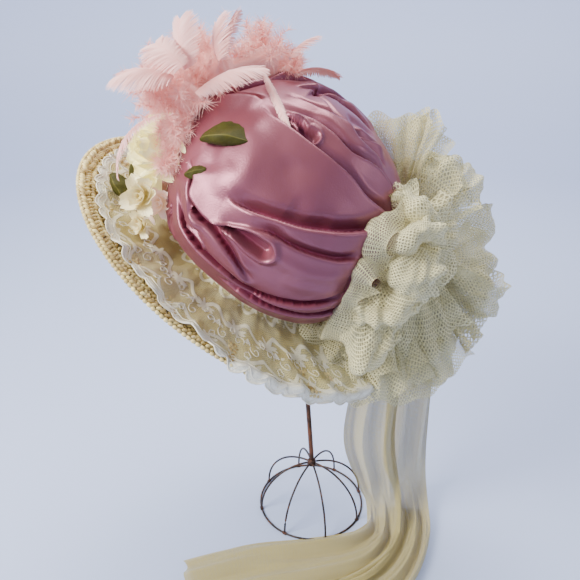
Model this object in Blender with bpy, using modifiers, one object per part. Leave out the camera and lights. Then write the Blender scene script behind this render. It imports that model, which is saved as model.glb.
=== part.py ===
"""A wide brim straw hat on a wire hat stand. The hat has a gathered satin crown cover, a lace ruffle,
a pouf and tails of net, and a spray of feathers, down and silk flowers. Metres, +Z up.

The hat is modelled upright in its own frame, +X to the back of the head, +Y to the wearer's right, and
is then tilted and lowered until its crown rests on the stand."""

from functools import partial
from math import asin, atan2, cos, exp, pi, radians, sin, sqrt, tau

import bmesh
import bpy
from mathutils import Matrix, Vector
from mathutils.bvhtree import BVHTree

# Stand
RING_RADIUS = 0.065
WIRE_RADIUS = 0.0012
FOOT_HEIGHT = 0.067
FOOT_RIBS = 8
STAND_HEIGHT = 0.426
SHAFT_RADIUS = 0.0028
SHAFT_LEAN = radians(4)
TOP_RADIUS = 0.034
TOP_HEIGHT = 0.030
TOP_RIBS = 6
COLLAR_RADIUS = 0.006
COLLAR_HEIGHT = 0.008
COLLAR_TAPER = 0.75

# Straw hat
HEAD_LENGTH = 0.188
HEAD_WIDTH = 0.168
CROWN_HEIGHT = 0.100
BRIM_LENGTH = 0.376
BRIM_WIDTH = 0.332
STRAW_WALL = 0.0022

# Satin cover, whose middle lies ahead of the head opening's
COVER_LENGTH = 0.2452
COVER_WIDTH = 0.2574
COVER_HEIGHT = 0.2098
COVER_FORWARD = 0.0127
COVER_MIDDLE_HEIGHT = 0.0732
SATIN_WALL = 0.0018
FOLD_DEPTH = 0.012
COVER_LOW = -40

# Lace, net and tulle
LACE_WALL = 0.001
RUFFLE_RISE = 0.005
LACE_DROP = 0.010
LACE_REACH = 1.07
LACE_FRONT = 0.84
UNDER_BRIM = 0.040
POUF_LOBE = 0.050
NET_WALL = 0.0018
TULLE_WALL = 0.0012
TULLE_WIDTH = 0.100
TULLE_FOLD = 0.008

# Feathers, down and flowers
FEATHER_WIDTH = 0.030
FEATHER_WALL = 0.0009
DOWN_LOBE = 0.032
DOWN_LOCK = 0.006
ROSE_RADIUS = 0.027
ROSE_HEIGHT = 0.030
BLOSSOM_RADIUS = 0.016
BLOSSOM_HEIGHT = 0.012
PETAL_WIDTH = 0.013
LEAF_WIDTH = 0.018
LEAF_WALL = 0.001

# How the hat sits
HAT_TILT = radians(36)
HAT_ROLL = radians(13.3)
HAT_ASIDE = -0.065
HAT_AHEAD = -0.010

GAP = 0.0003
SEAT_GAP = 0.0005

# Fineness of the meshes
AROUND = 36
COVER_AROUND = 40
LACE_AROUND = 45
RING_STEPS = 24
COVER_ROWS = 14
RIB_STEPS = 6
BLADE_ROWS = 7
WIRE_SIDES = 6
FOLD_STEPS = 10
BACK_OFFS = 80
RUN_UP = 0.3

# Straw crown, from the middle of its top down to the head opening, as shares of its size
CROWN_SECTIONS = (
    # reach, height
    (0.00, 1.00),
    (0.45, 0.985),
    (0.72, 0.92),
    (0.87, 0.76),
    (0.93, 0.45),
    (0.98, 0.12),
    (1.01, 0.03),
)
# Brim, from the head opening out: share of the brim's width, and height as a share of the crown's
BRIM_SECTIONS = (
    (0.05, 0.00),
    (0.35, -0.02),
    (0.70, -0.03),
    (0.93, -0.01),
    (1.00, 0.015),
)
# Lace, from under the cover out: share of its own width, and share of the ruffle's rise
LACE_SECTIONS = (
    (0.30, 0.2),
    (0.62, 0.5),
    (0.93, 1.0),
    (0.965, 0.7),
    (1.00, 0.9),
)
# Folds of the cover: start, middle and end in degrees round and up, then depth and width in degrees
COVER_FOLDS = (
    # near side
    (-155, 46, -110, 51, -56, 42, 1.0, 8),
    (-147, 57, -99, 66, -25, 60, 0.6, 6),
    (-172, 72, -109, 75, -44, 70, 0.4, 5),
    (-118, 15, -99, 23, -60, 34, 0.7, 7),
    (-104, 10, -86, 15, -62, 24, 0.6, 7),
    (-144, 3, -123, -3, -92, -8, 0.9, 7),
    (-147, -13, -122, -19, -91, -17, 0.7, 6),
    (-92, -20, -66, -8, -54, 9, 0.5, 7),
    # far side and back
    (158, 40, 110, 48, 52, 40, 1.0, 8),
    (150, 14, 108, 20, 50, 26, 0.8, 8),
    (150, -8, 112, -14, 58, -6, 0.8, 7),
    (60, 62, 100, 68, 150, 62, 0.5, 6),
    (30, -12, 12, 10, 20, 38, 0.6, 8),
    (-20, -14, -8, 12, -16, 40, 0.6, 8),
)
# Lobes of the net pouf: degrees round and up, reach as a share of the cover's size, and size
POUF_LOBES = (
    # round, up, reach, size
    (31, 61, 1.22, 0.45),
    (24, 50, 1.32, 0.68),
    (12, 39, 1.20, 0.81),
    (11, 41, 1.43, 0.69),
    (3, 18, 1.61, 1.00),
    (-10, 26, 1.13, 0.82),
    (-5, 5, 1.68, 0.98),
    (-16, -5, 1.44, 0.94),
    (-24, -18, 1.60, 0.75),
    (-34, -23, 1.48, 0.63),
    (-12, -8, 1.83, 0.68),
    (-22, 2, 1.09, 0.66),
)
POUF_MIDDLE = (-4, 16, 1.32)
# Lobes of the down: degrees round and up, reach as a share of the cover's size, and size
DOWN_LOBES = (
    # round, up, reach, size
    (178, 14, 1.19, 0.85),
    (-174, 16, 1.10, 1.00),
    (170, 29, 1.13, 1.05),
    (152, 45, 1.12, 0.80),
    (133, 52, 1.06, 0.50),
    (-166, 4, 1.03, 0.70),
    (-159, -4, 1.00, 0.55),
)
DOWN_MIDDLE = (176, 22, 1.12)
# The trimming is laid on along this way, in degrees round and up
TRIM_WAY = (87, -27)
# Feathers: root and tip in degrees round and up with their reach, then bow, width and turn in degrees
FEATHERS = (
    # root, tip, bow, width, turn
    (176, 19, 1.20, 170, 25, 1.47, 0.10, 1.0, 20),
    (166, 28, 1.14, 160, 38, 1.40, 0.08, 0.8, -15),
    (-176, 18, 1.24, -177, 5, 1.48, 0.14, 1.2, 0),
    (-166, 10, 1.19, -159, -17, 1.30, 0.22, 0.4, 0),
    (-166, 24, 1.16, -169, 50, 1.17, 0.12, 0.9, 0),
    (179, 50, 1.10, -134, 52, 0.96, 0.12, 0.5, 10),
    (143, 51, 1.12, 127, 55, 1.33, 0.10, 0.7, 0),
    (131, 48, 1.02, 100, 54, 1.15, 0.16, 0.6, 0),
    (170, 14, 1.20, 165, 10, 1.42, 0.10, 1.1, 10),
    (162, 24, 1.12, 155, 27, 1.36, 0.12, 1.0, -10),
)
# Flowers and leaves: places in degrees round and up with their reach
ROSE_PLACE = (-169, -7, 1.10)
BLOSSOMS = (
    # round, up, reach, size
    (-153, -19, 1.16, 1.0),
    (-148, -18, 1.05, 0.8),
    (-151, -31, 1.18, 0.7),
)
PETAL_PLACES = ((-150, -22, 1.12), (-147, -31, 1.10))
LEAVES = (
    # root, tip, bow, width, turn in degrees
    (-156, 15, 0.98, -141, 33, 0.92, 0.20, 1.2, 0),
    (-163, -28, 1.27, -169, -23, 1.36, 0.10, 1.1, 40),
    (-150, -1, 0.96, -145, 9, 0.92, 0.10, 0.6, 0),
    (-163, -22, 1.20, -165, -14, 1.22, 0.10, 0.5, 30),
)
# Tulle tails, from the pouf down to the floor and along it. Places in stand-ring radii, with the first
# row's height left to the pouf; then width, fold and the turn of the cloth's width in degrees
TAILS = (
    (
        (1.12, -0.60, 0.00, 0.46, 1.0, 0),
        (0.98, -0.60, 2.10, 0.54, 1.1, 0),
        (1.20, -0.58, 1.00, 0.44, 1.1, 0),
        (1.32, -0.66, 0.40, 0.34, 1.0, -20),
        (1.22, -1.04, 0.00, 0.30, 1.1, -50),
        (0.75, -1.42, 0.00, 0.40, 1.0, -70),
        (-0.10, -1.64, 0.00, 0.55, 0.8, -80),
        (-1.10, -1.85, 0.00, 0.70, 0.7, -80),
        (-2.20, -2.25, 0.00, 0.80, 0.6, -72),
    ),
    (
        (1.80, 0.05, 0.00, 0.44, 1.0, 0),
        (1.78, 0.05, 2.00, 0.44, 1.1, 0),
        (1.80, 0.00, 0.90, 0.42, 1.1, -5),
        (1.92, -0.15, 0.30, 0.34, 1.0, -15),
        (1.88, -0.80, 0.00, 0.30, 1.1, -40),
        (1.50, -1.60, 0.00, 0.32, 1.0, -55),
        (0.80, -2.20, 0.00, 0.45, 0.8, -62),
        (-0.10, -2.66, 0.00, 0.60, 0.7, -66),
        (-1.10, -3.05, 0.00, 0.65, 0.6, -70),
    ),
)
TAIL_ACROSS = 11
TAIL_WAVES = 2.4

COLOURS = {
    # colour, roughness, metallic
    "wire": ((0.13, 0.10, 0.085), 0.55, 0.8),
    "shaft": ((0.10, 0.045, 0.025), 0.6, 0.6),
    "straw": ((0.80, 0.66, 0.42), 0.75, 0.0),
    "satin": ((0.62, 0.25, 0.36), 0.35, 0.0),
    "lace": ((0.90, 0.86, 0.76), 0.8, 0.0),
    "net": ((0.82, 0.80, 0.68), 0.8, 0.0),
    "tulle": ((0.80, 0.74, 0.58), 0.8, 0.0),
    "feather": ((0.85, 0.58, 0.56), 0.7, 0.0),
    "down": ((0.90, 0.70, 0.68), 0.9, 0.0),
    "rose": ((0.92, 0.88, 0.70), 0.6, 0.0),
    "blossom": ((0.90, 0.74, 0.70), 0.6, 0.0),
    "leaf": ((0.20, 0.24, 0.07), 0.7, 0.0),
}


# Scene, materials and meshes


def start_scene():
    for thing in list(bpy.data.objects):
        bpy.data.objects.remove(thing, do_unlink=True)
    parts = bpy.data.collections.new("wide_brim_hat")
    cutters = bpy.data.collections.new("cutters")
    bpy.context.scene.collection.children.link(parts)
    bpy.context.scene.collection.children.link(cutters)
    return parts, cutters


PARTS, CUTTERS = start_scene()


def material(finish):
    made = bpy.data.materials.get(finish)
    if made is None:
        colour, roughness, metallic = COLOURS[finish]
        made = bpy.data.materials.new(finish)
        made.use_nodes = True
        shader = made.node_tree.nodes["Principled BSDF"]
        shader.inputs["Base Color"].default_value = (*colour, 1)
        shader.inputs["Roughness"].default_value = roughness
        shader.inputs["Metallic"].default_value = metallic
    return made


def add_empty(name, parent=None):
    empty = bpy.data.objects.new(name, None)
    empty.parent = parent
    PARTS.objects.link(empty)
    return empty


STANDING = add_empty("hat_and_stand")
HAT = add_empty("hat", STANDING)


def add_object(name, data, finish, parent):
    piece = bpy.data.objects.new(name, data)
    piece.parent = parent
    data.materials.append(material(finish).copy() if finish else None)
    PARTS.objects.link(piece)
    return piece


def finished(mesh, build):
    """Fills a mesh from a bmesh: welded, in triangles, faced outwards and shaded smooth."""
    bmesh.ops.remove_doubles(build, verts=build.verts, dist=1e-6)
    bmesh.ops.triangulate(build, faces=build.faces)
    bmesh.ops.recalc_face_normals(build, faces=build.faces)
    build.to_mesh(mesh)
    build.free()
    mesh.shade_smooth()
    return mesh


def grid(build, rows, columns, place, closed):
    """Lofts faces through rows of points, place(row, column), halved the same way every time."""
    points = [[build.verts.new(place(r, c)) for c in range(columns)] for r in range(rows)]
    for upper, lower in zip(points, points[1:]):
        for c in range(columns if closed else columns - 1):
            after = (c + 1) % columns
            build.faces.new((upper[c], lower[c], lower[after]))
            build.faces.new((upper[c], lower[after], upper[after]))
    return points


def sheet(name, rows, columns, place, finish, parent, wall, closed=False, tip=None, side=-1):
    """A cloth wall: an open surface with Solidify, closed at its first row by a fan to tip."""
    build = bmesh.new()
    points = grid(build, rows, columns, place, closed)
    if tip:
        top = build.verts.new(tip)
        for c in range(columns):
            build.faces.new((top, points[0][c], points[0][(c + 1) % columns]))
    bmesh.ops.remove_doubles(build, verts=build.verts, dist=1e-6)
    mesh = bpy.data.meshes.new(name)
    build.to_mesh(mesh)
    build.free()
    mesh.shade_smooth()
    piece = add_object(name, mesh, finish, parent)
    thicken = piece.modifiers.new("wall", "SOLIDIFY")
    thicken.thickness = wall
    thicken.offset = side
    return piece


def cut(piece, cutter):
    taken = piece.modifiers.new("cut_" + cutter.name, "BOOLEAN")
    taken.operation = "DIFFERENCE"
    taken.object = cutter


def cutter(name, build):
    """A hidden solid in the hat's frame, for cutting what lies against it."""
    mesh = finished(bpy.data.meshes.new(name), build)
    made = bpy.data.objects.new(name, mesh)
    made.parent = HAT
    made.hide_render = True
    made.display_type = "WIRE"
    CUTTERS.objects.link(made)
    return made


# Stand


def wire(name, points, radius, finish, parent, sides=WIRE_SIDES):
    curve = bpy.data.curves.new(name, "CURVE")
    curve.dimensions = "3D"
    curve.bevel_depth = radius
    curve.bevel_resolution = sides // 2 - 2
    curve.use_fill_caps = True
    line = curve.splines.new("POLY")
    line.points.add(len(points) - 1)
    for point, place in zip(line.points, points):
        point.co = (*place, 1)
    return add_object(name, curve, finish, parent)


def ring(name, radius, height, parent):
    """A wire ring with a flat facet below, its lowest face at height."""
    build = bmesh.new()
    inradius = WIRE_RADIUS * cos(pi / WIRE_SIDES)

    def place(step, side):
        turn = tau * step / RING_STEPS
        corner = tau * (side + 0.5) / WIRE_SIDES + pi / 2
        out = radius + WIRE_RADIUS * cos(corner)
        return Vector((out * cos(turn), out * sin(turn), height + inradius + WIRE_RADIUS * sin(corner)))

    grid(build, RING_STEPS + 1, WIRE_SIDES, place, True)
    return add_object(name, finished(bpy.data.meshes.new(name), build), "wire", parent)


def collar(name, parent, height):
    build = bmesh.new()
    bmesh.ops.create_cone(
        build, cap_ends=True, segments=12, radius1=COLLAR_RADIUS, radius2=COLLAR_RADIUS * COLLAR_TAPER,
        depth=COLLAR_HEIGHT, matrix=Matrix.Translation((0, 0, height + COLLAR_HEIGHT / 2)),
    )
    return add_object(name, finished(bpy.data.meshes.new(name), build), "shaft", parent)


def wire_dome(name, parent, radius, rise, ribs, turn):
    """A ring with arched wires up to a collar, its ring's lowest face at the parent's origin."""
    ring(name + "_ring", radius, 0, parent)
    collar(name + "_collar", parent, rise - COLLAR_HEIGHT)
    low = 2 * WIRE_RADIUS + GAP + WIRE_RADIUS * 0.15
    high = rise - COLLAR_HEIGHT * 0.5
    start = COLLAR_RADIUS * (1 + COLLAR_TAPER) / 2 + SEAT_GAP
    for rib in range(ribs):
        bearing = tau * (rib + turn) / ribs
        points = []
        for step in range(RIB_STEPS):
            swing = pi / 2 * step / (RIB_STEPS - 1)
            out = start + (radius - start) * sin(swing)
            points.append((out * cos(bearing), out * sin(bearing), low + (high - low) * cos(swing)))
        wire(f"{name}_rib_{rib + 1}", points, WIRE_RADIUS, "wire", parent)


def make_stand():
    wire_dome("base", STANDING, RING_RADIUS, FOOT_HEIGHT, FOOT_RIBS, 0.3)
    head = add_empty("stand_head", STANDING)
    top_floor = STAND_HEIGHT - TOP_HEIGHT
    aside = -sin(SHAFT_LEAN) * (STAND_HEIGHT - FOOT_HEIGHT)
    head.location = (aside, 0, top_floor)
    wire_dome("top", head, TOP_RADIUS, TOP_HEIGHT, TOP_RIBS, 0.5)
    foot = Vector((0, 0, FOOT_HEIGHT + GAP + SHAFT_RADIUS * sin(SHAFT_LEAN)))
    under = Vector((aside, 0, STAND_HEIGHT - COLLAR_HEIGHT - GAP - SHAFT_RADIUS * sin(SHAFT_LEAN)))
    wire("shaft", (foot, under), SHAFT_RADIUS, "shaft", STANDING, 8)


# Straw hat


def share(low, high, amount):
    return low + (high - low) * amount


def smooth(low, high, value):
    t = min(max((value - low) / (high - low), 0), 1)
    return t * t * (3 - 2 * t)


def brim_height(out):
    """Height of the brim's upper side at a share of its width from the head opening."""
    before = BRIM_SECTIONS[0]
    for section in BRIM_SECTIONS:
        if out <= section[0]:
            span = section[0] - before[0]
            step = (out - before[0]) / span if span else 0
            return CROWN_HEIGHT * share(before[1], section[1], max(step, 0))
        before = section
    return CROWN_HEIGHT * before[1]


def brim_place(out, turn, height):
    """A point at a share of the brim's width, the turn round the head and a height."""
    long = share(HEAD_LENGTH, BRIM_LENGTH, out) / 2
    wide = share(HEAD_WIDTH, BRIM_WIDTH, out) / 2
    return Vector((long * cos(turn), wide * sin(turn), height))


def make_straw():
    def place(row, column):
        turn = tau * column / AROUND
        if row < len(CROWN_SECTIONS) - 1:
            reach, height = CROWN_SECTIONS[row + 1]
            long, wide = HEAD_LENGTH / 2 * reach, HEAD_WIDTH / 2 * reach
            return Vector((long * cos(turn), wide * sin(turn), CROWN_HEIGHT * height))
        out, height = BRIM_SECTIONS[row - len(CROWN_SECTIONS) + 1]
        return brim_place(out, turn, CROWN_HEIGHT * height)

    rows = len(CROWN_SECTIONS) + len(BRIM_SECTIONS) - 1
    return sheet("straw_body", rows, AROUND, place, "straw", HAT, STRAW_WALL, True, (0, 0, CROWN_HEIGHT))


# Satin cover


def heading(turn, rise):
    """A unit direction at degrees round from the back of the head and up from level."""
    turn, rise = radians(turn), radians(rise)
    return Vector((cos(rise) * cos(turn), cos(rise) * sin(turn), sin(rise)))


def cover_place(direction, reach):
    """A point off the cover's middle, at a share of the cover's size."""
    half = Vector((COVER_LENGTH, COVER_WIDTH, COVER_HEIGHT)) / 2
    return Vector((-COVER_FORWARD, 0, COVER_MIDDLE_HEIGHT)) + direction * half * reach


def spot(turn, rise, reach):
    return cover_place(heading(turn, rise), reach)


def fold_lines():
    """Each fold of the table as directions along its bent line, with its depth and width."""
    lines = []
    for row in COVER_FOLDS:
        start, middle, end = (heading(row[k], row[k + 1]) for k in (0, 2, 4))
        bend = middle * 2 - (start + end) / 2
        line = []
        for step in range(FOLD_STEPS + 1):
            t = step / FOLD_STEPS
            line.append((start * (1 - t) ** 2 + bend * 2 * t * (1 - t) + end * t * t).normalized())
        lines.append((line, row[6], radians(row[7])))
    return lines


FOLD_LINES = fold_lines()


def fold_push(direction):
    """How far the folds push the cover out, in fold depths: a groove with a roll above it."""
    push = 0
    for line, depth, width in FOLD_LINES:
        nearest, along, side = 9, 0, 1
        for step, (a, b) in enumerate(zip(line, line[1:])):
            run = b - a
            t = min(max((direction - a).dot(run) / run.length_squared, 0), 1)
            away = direction - (a + run * t)
            if away.length < nearest:
                nearest = away.length
                along = (step + t) / FOLD_STEPS
                side = 1 if away.z >= 0 else -1
        if nearest < 4 * width:
            off = side * nearest / width
            groove = -exp(-off * off) + 0.6 * exp(-((off - 1.5) ** 2))
            ends = smooth(-0.05, 0.2, along) * smooth(1.05, 0.8, along)
            push += depth * groove * ends
    return push


def cover_point(turn, rise, grown=0.0):
    """A point of the cover's outside; low down it draws in to the seam round the straw crown."""
    direction = heading(turn, rise)
    point = cover_place(direction, 1) + direction * (FOLD_DEPTH * fold_push(direction) + grown)
    seam = SATIN_WALL + SEAT_GAP + GAP + grown
    reach, height = CROWN_SECTIONS[-2]
    around = radians(turn)
    base = Vector((
        (HEAD_LENGTH / 2 * reach + seam) * cos(around),
        (HEAD_WIDTH / 2 * reach + seam) * sin(around),
        CROWN_HEIGHT * height - grown,
    ))
    return point.lerp(base, smooth(-14, COVER_LOW, rise))


def cover_rise(row):
    return share(90, COVER_LOW, (row + 1) / COVER_ROWS)


def make_cover():
    def place(row, column):
        return cover_point(360 * column / COVER_AROUND, cover_rise(row))

    top = cover_point(0, 90)
    return sheet("satin_crown", COVER_ROWS, COVER_AROUND, place, "satin", HAT, SATIN_WALL, True, top)


def cover_cutter():
    """The cover with its hollow filled, grown by the gap that neighbours keep."""
    build = bmesh.new()

    def place(row, column):
        return cover_point(360 * column / COVER_AROUND, cover_rise(row), GAP)

    points = grid(build, COVER_ROWS, COVER_AROUND, place, True)
    top = build.verts.new(cover_point(0, 90, GAP))
    for c in range(COVER_AROUND):
        build.faces.new((top, points[0][c], points[0][(c + 1) % COVER_AROUND]))
    build.faces.new(points[-1])
    return cutter("cover_cutter", build)


# Lace


def lace_edge(turn):
    """How far out the lace ends, as a share of the brim's width: inside the rim at the front."""
    front = smooth(-0.2, 0.75, -cos(turn)) * smooth(-1.0, 0.2, -sin(turn) + 0.6)
    return share(LACE_REACH, LACE_FRONT, front)


def lace_out(row, turn):
    return LACE_SECTIONS[row][0] * lace_edge(turn)


def lace_rise(row, turn):
    """Height of the lace's underside over the brim, ruffled more towards its edge."""
    wave = 0.5 + 0.5 * sin(15 * turn + row)
    return SEAT_GAP + GAP / 2 + RUFFLE_RISE * LACE_SECTIONS[row][1] * wave


def lace_point(row, column):
    turn = tau * column / LACE_AROUND
    out = lace_out(row, turn)
    height = brim_height(min(out, 1)) + lace_rise(row, turn)
    if row == len(LACE_SECTIONS) - 1:
        height -= LACE_DROP * smooth(1.03, LACE_REACH, out)
    return brim_place(out, turn, height)


def make_lace():
    rows, columns = len(LACE_SECTIONS), LACE_AROUND
    return sheet("lace_ruffle", rows, columns, lace_point, "lace", HAT, LACE_WALL, True, side=1)


def brim_cutter():
    """The space of brim and lace and what lies under them, with the gap that neighbours keep."""
    build = bmesh.new()
    reach = LACE_REACH + 2 * (LACE_WALL + SEAT_GAP) / (BRIM_WIDTH - HEAD_WIDTH)
    over = RUFFLE_RISE + LACE_WALL + 2 * SEAT_GAP + GAP
    outline = [(out, brim_height(min(out, 1)) + over) for out in (0.0, 0.5, 0.8, 1.0, reach + 0.01)]
    outline += [(out, -UNDER_BRIM) for out in (reach + 0.01, 0.5, 0.0)]

    def place(column, row):
        return brim_place(outline[row][0], tau * column / AROUND, outline[row][1])

    grid(build, AROUND + 1, len(outline), place, True)
    return cutter("brim_cutter", build)


# Lobed bodies: the pouf and the down


def lobed(name, lobes, size, middle, finish, rings, lock=None):
    """A ball whose surface reaches to the far side of every lobe, seen from the middle."""
    build = bmesh.new()
    bmesh.ops.create_uvsphere(build, u_segments=2 * rings, v_segments=rings, radius=1)
    centre = spot(*middle)
    balls = [(spot(*row[:3]) - centre, row[3] * size) for row in lobes]
    for index, corner in enumerate(build.verts):
        way = corner.co.normalized()
        reach = size * 0.4
        for place, radius in balls:
            along = place.dot(way)
            inside = radius * radius - (place - way * along).length_squared
            if inside > 0:
                reach = max(reach, along + sqrt(inside))
        if lock:
            reach += lock * (1 if index % 2 else -0.4)
        corner.co = centre + way * reach
    return add_object(name, finished(bpy.data.meshes.new(name), build), finish, HAT)


def make_pouf(cutters):
    pouf = lobed("net_pouf", POUF_LOBES, POUF_LOBE, POUF_MIDDLE, "net", 11)
    thicken = pouf.modifiers.new("wall", "SOLIDIFY")
    thicken.thickness = NET_WALL
    thicken.offset = -1
    for each in cutters:
        cut(pouf, each)
    return pouf


def make_down(cutters):
    down = lobed("marabou", DOWN_LOBES, DOWN_LOBE, DOWN_MIDDLE, "down", 9, DOWN_LOCK)
    for each in cutters:
        cut(down, each)
    return down


# Seating


def world_mesh(piece):
    """The evaluated mesh of a piece in world space, as points and triangles."""
    graph = bpy.context.evaluated_depsgraph_get()
    seen = piece.evaluated_get(graph)
    mesh = seen.to_mesh()
    points = [seen.matrix_world @ corner.co for corner in mesh.vertices]
    mesh.calc_loop_triangles()
    faces = [tuple(face.vertices) for face in mesh.loop_triangles]
    seen.to_mesh_clear()
    return points, faces


def seat(moved, piece, standing, way, run_up):
    """Draws the object moved back by run_up, then slides it along way until piece nearly touches.
    False, with moved where it was, if nothing lies in its way."""
    way = Vector(way).normalized()
    moved.location -= way * run_up
    bpy.context.view_layer.update()
    world_way = ((moved.parent.matrix_world.to_3x3() if moved.parent else Matrix.Identity(3)) @ way)
    points, faces = world_mesh(piece)
    own = BVHTree.FromPolygons(points, faces)
    others = [world_mesh(other) for other in standing]
    trees = [BVHTree.FromPolygons(*other) for other in others]
    travel = []
    for tree, (corners, _) in zip(trees, others):
        travel += [tree.ray_cast(point, world_way)[3] for point in points]
        travel += [own.ray_cast(corner, -world_way)[3] for corner in corners]
    reached = [distance for distance in travel if distance is not None]
    if not reached:
        moved.location += way * run_up
        return False
    free = min(reached) - SEAT_GAP
    for _ in range(BACK_OFFS):
        shifted = BVHTree.FromPolygons([point + world_way * free for point in points], faces)
        if not any(shifted.overlap(tree) for tree in trees):
            break
        free -= GAP
    moved.location += way * free
    bpy.context.view_layer.update()
    return True


# Feathers, flowers and leaves


def blade(name, row, width, wall, finish):
    """A feather or leaf: a bowed, pointed sheet from its root to its tip, cupped along its rib."""
    root, tip = spot(*row[:3]), spot(*row[3:6])
    bow, wide, turn = row[6:]
    run = tip - root
    outward = (root + tip) / 2 - spot(0, 0, 0)
    outward = (outward - run * outward.dot(run) / run.length_squared).normalized()
    outward = Matrix.Rotation(radians(turn), 3, run.normalized()) @ outward
    across = run.cross(outward).normalized()

    def place(along, column):
        t = along / (BLADE_ROWS - 1)
        side = column - 1
        half = width / 2 * wide * (0.12 + 0.88 * sin(pi * min(t * 0.92 + 0.04, 1)) ** 0.7)
        arch = bow * run.length * 4 * t * (1 - t)
        return root + run * t + outward * (arch - half * 0.35 * side * side) + across * half * side

    return sheet(name, BLADE_ROWS, 3, place, finish, HAT, wall)


def turned_ball(place, segments, rings, shape):
    """A ball remade by shape(turn, rise, point), facing out of the hat at a place."""
    build = bmesh.new()
    bmesh.ops.create_uvsphere(build, u_segments=segments, v_segments=rings, radius=1)
    facing = heading(*place[:2]).to_track_quat("Z", "Y").to_matrix()
    for corner in build.verts:
        turn = atan2(corner.co.y, corner.co.x)
        rise = asin(max(min(corner.co.z, 1), -1))
        corner.co = facing @ shape(turn, rise, corner.co)
    return build


def rose_shape(grown):
    """Nested cupped petals as one body, its outline stepping round like overlapping petals."""
    def shape(turn, rise, point):
        petals = 5 if rise > 0.5 else 3
        petal = 1 + 0.09 * sin(petals * turn + rise * 4)
        lip = 1 + 0.10 * sin(rise * 7)
        flat = (ROSE_RADIUS * petal * lip + grown) * cos(rise)
        return Vector((flat * cos(turn), flat * sin(turn), (ROSE_HEIGHT / 2 + grown) * point.z))

    return shape


def blossom_shape(size, grown):
    """A small open flower: five round petals on a rounded back."""
    def shape(turn, rise, point):
        petal = 0.72 + 0.28 * abs(cos(2.5 * turn))
        flat = (BLOSSOM_RADIUS * size * petal + grown) * cos(rise)
        dish = 0.4 * cos(rise) ** 2
        high = (BLOSSOM_HEIGHT / 2 + grown) * (point.z * (1 - dish) + dish)
        return Vector((flat * cos(turn), flat * sin(turn), high))

    return shape


def make_bloom(name, place, finish, segments, rings, shaper, placed):
    """A flower seated on the hat, and the space that the down leaves round it."""
    mesh = finished(bpy.data.meshes.new(name), turned_ball(place, segments, rings, shaper(0)))
    bloom = add_object(name, mesh, finish, HAT)
    bloom.location = spot(*place)
    seat(bloom, bloom, placed, heading(*TRIM_WAY), RUN_UP)
    placed.append(bloom)
    room = cutter(name + "_room", turned_ball(place, segments, rings, shaper(SEAT_GAP)))
    room.location = bloom.location
    return room


def make_petal():
    """The long petal that hangs below the blossoms."""
    row = (*PETAL_PLACES[0], *PETAL_PLACES[1], 0.15, 1, 0)
    return blade("hanging_petal", row, PETAL_WIDTH, LEAF_WALL, "blossom")


# Tulle tails


def tail_rows(table, top):
    """The table's rows in metres, with a row added halfway between each two so that the cloth bends."""
    rows = []
    for x, y, z, wide, fold, turn in table:
        place = [x * RING_RADIUS, y * RING_RADIUS, z * RING_RADIUS]
        rows.append(place + [wide * TULLE_WIDTH / 2, fold * TULLE_FOLD, radians(turn)])
    rows[0][2] = top
    fine = []
    for k in range(len(rows) - 1):
        before, a, b, after = rows[max(k - 1, 0)], rows[k], rows[k + 1], rows[min(k + 2, len(rows) - 1)]
        fine.append(a)
        fine.append([(9 * (p + q) - o - r) / 16 for o, p, q, r in zip(before, a, b, after)])
    return fine + [rows[-1]]


def tail_point(row, column):
    """A point of a tail: its folds stand out sideways where it hangs and upwards where it lies."""
    x, y, z, half, fold, turn = row
    side = column / (TAIL_ACROSS - 1) * 2 - 1
    z = max(z, fold + TULLE_WALL / 2 + GAP)
    lying = smooth(3 * RING_RADIUS / 2, RING_RADIUS / 3, z)
    wave = fold * sin(side * TAIL_WAVES * pi)
    across = Vector((cos(turn), sin(turn), 0))
    deep = Vector((-sin(turn), cos(turn), 0))
    return Vector((x, y, z + wave * lying)) + across * half * side + deep * wave * (1 - lying)


def undersides(things, row):
    """The height of what lies over each column of a tail's upper edge."""
    trees = [BVHTree.FromPolygons(*world_mesh(thing)) for thing in things]
    heights = []
    for column in range(TAIL_ACROSS):
        foot = tail_point(row, column)
        foot.z = 0
        above = []
        for aside in (-TULLE_WALL, 0, TULLE_WALL):
            for deep in (-TULLE_WALL, 0, TULLE_WALL):
                hits = (tree.ray_cast(foot + Vector((aside, deep, 0)), Vector((0, 0, 1))) for tree in trees)
                above += [hit[0].z for hit in hits if hit[0]]
        heights.append(min(above, default=STAND_HEIGHT))
    return [min(heights[max(c - 1, 0):c + 2]) - SEAT_GAP for c in range(TAIL_ACROSS)]


def make_tail(name, table, things):
    tops = undersides(things, tail_rows(table, STAND_HEIGHT)[0])
    rows = tail_rows(table, min(tops))

    def place(row, column):
        point = tail_point(rows[row], column)
        if row == 0:
            point.z = tops[column]
        return point

    return sheet(name, len(rows), TAIL_ACROSS, place, "tulle", STANDING, TULLE_WALL, side=0)


# The whole


def lay_on(blade_piece, placed):
    """Lays a blade on what is there, or straight in towards the cover's middle if it would miss it."""
    if not seat(blade_piece, blade_piece, placed, heading(*TRIM_WAY), RUN_UP):
        points = [corner.co for corner in blade_piece.data.vertices]
        inward = spot(0, 0, 0) - sum(points, Vector()) / len(points)
        seat(blade_piece, blade_piece, placed, inward, RUN_UP)
    placed.append(blade_piece)


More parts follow.
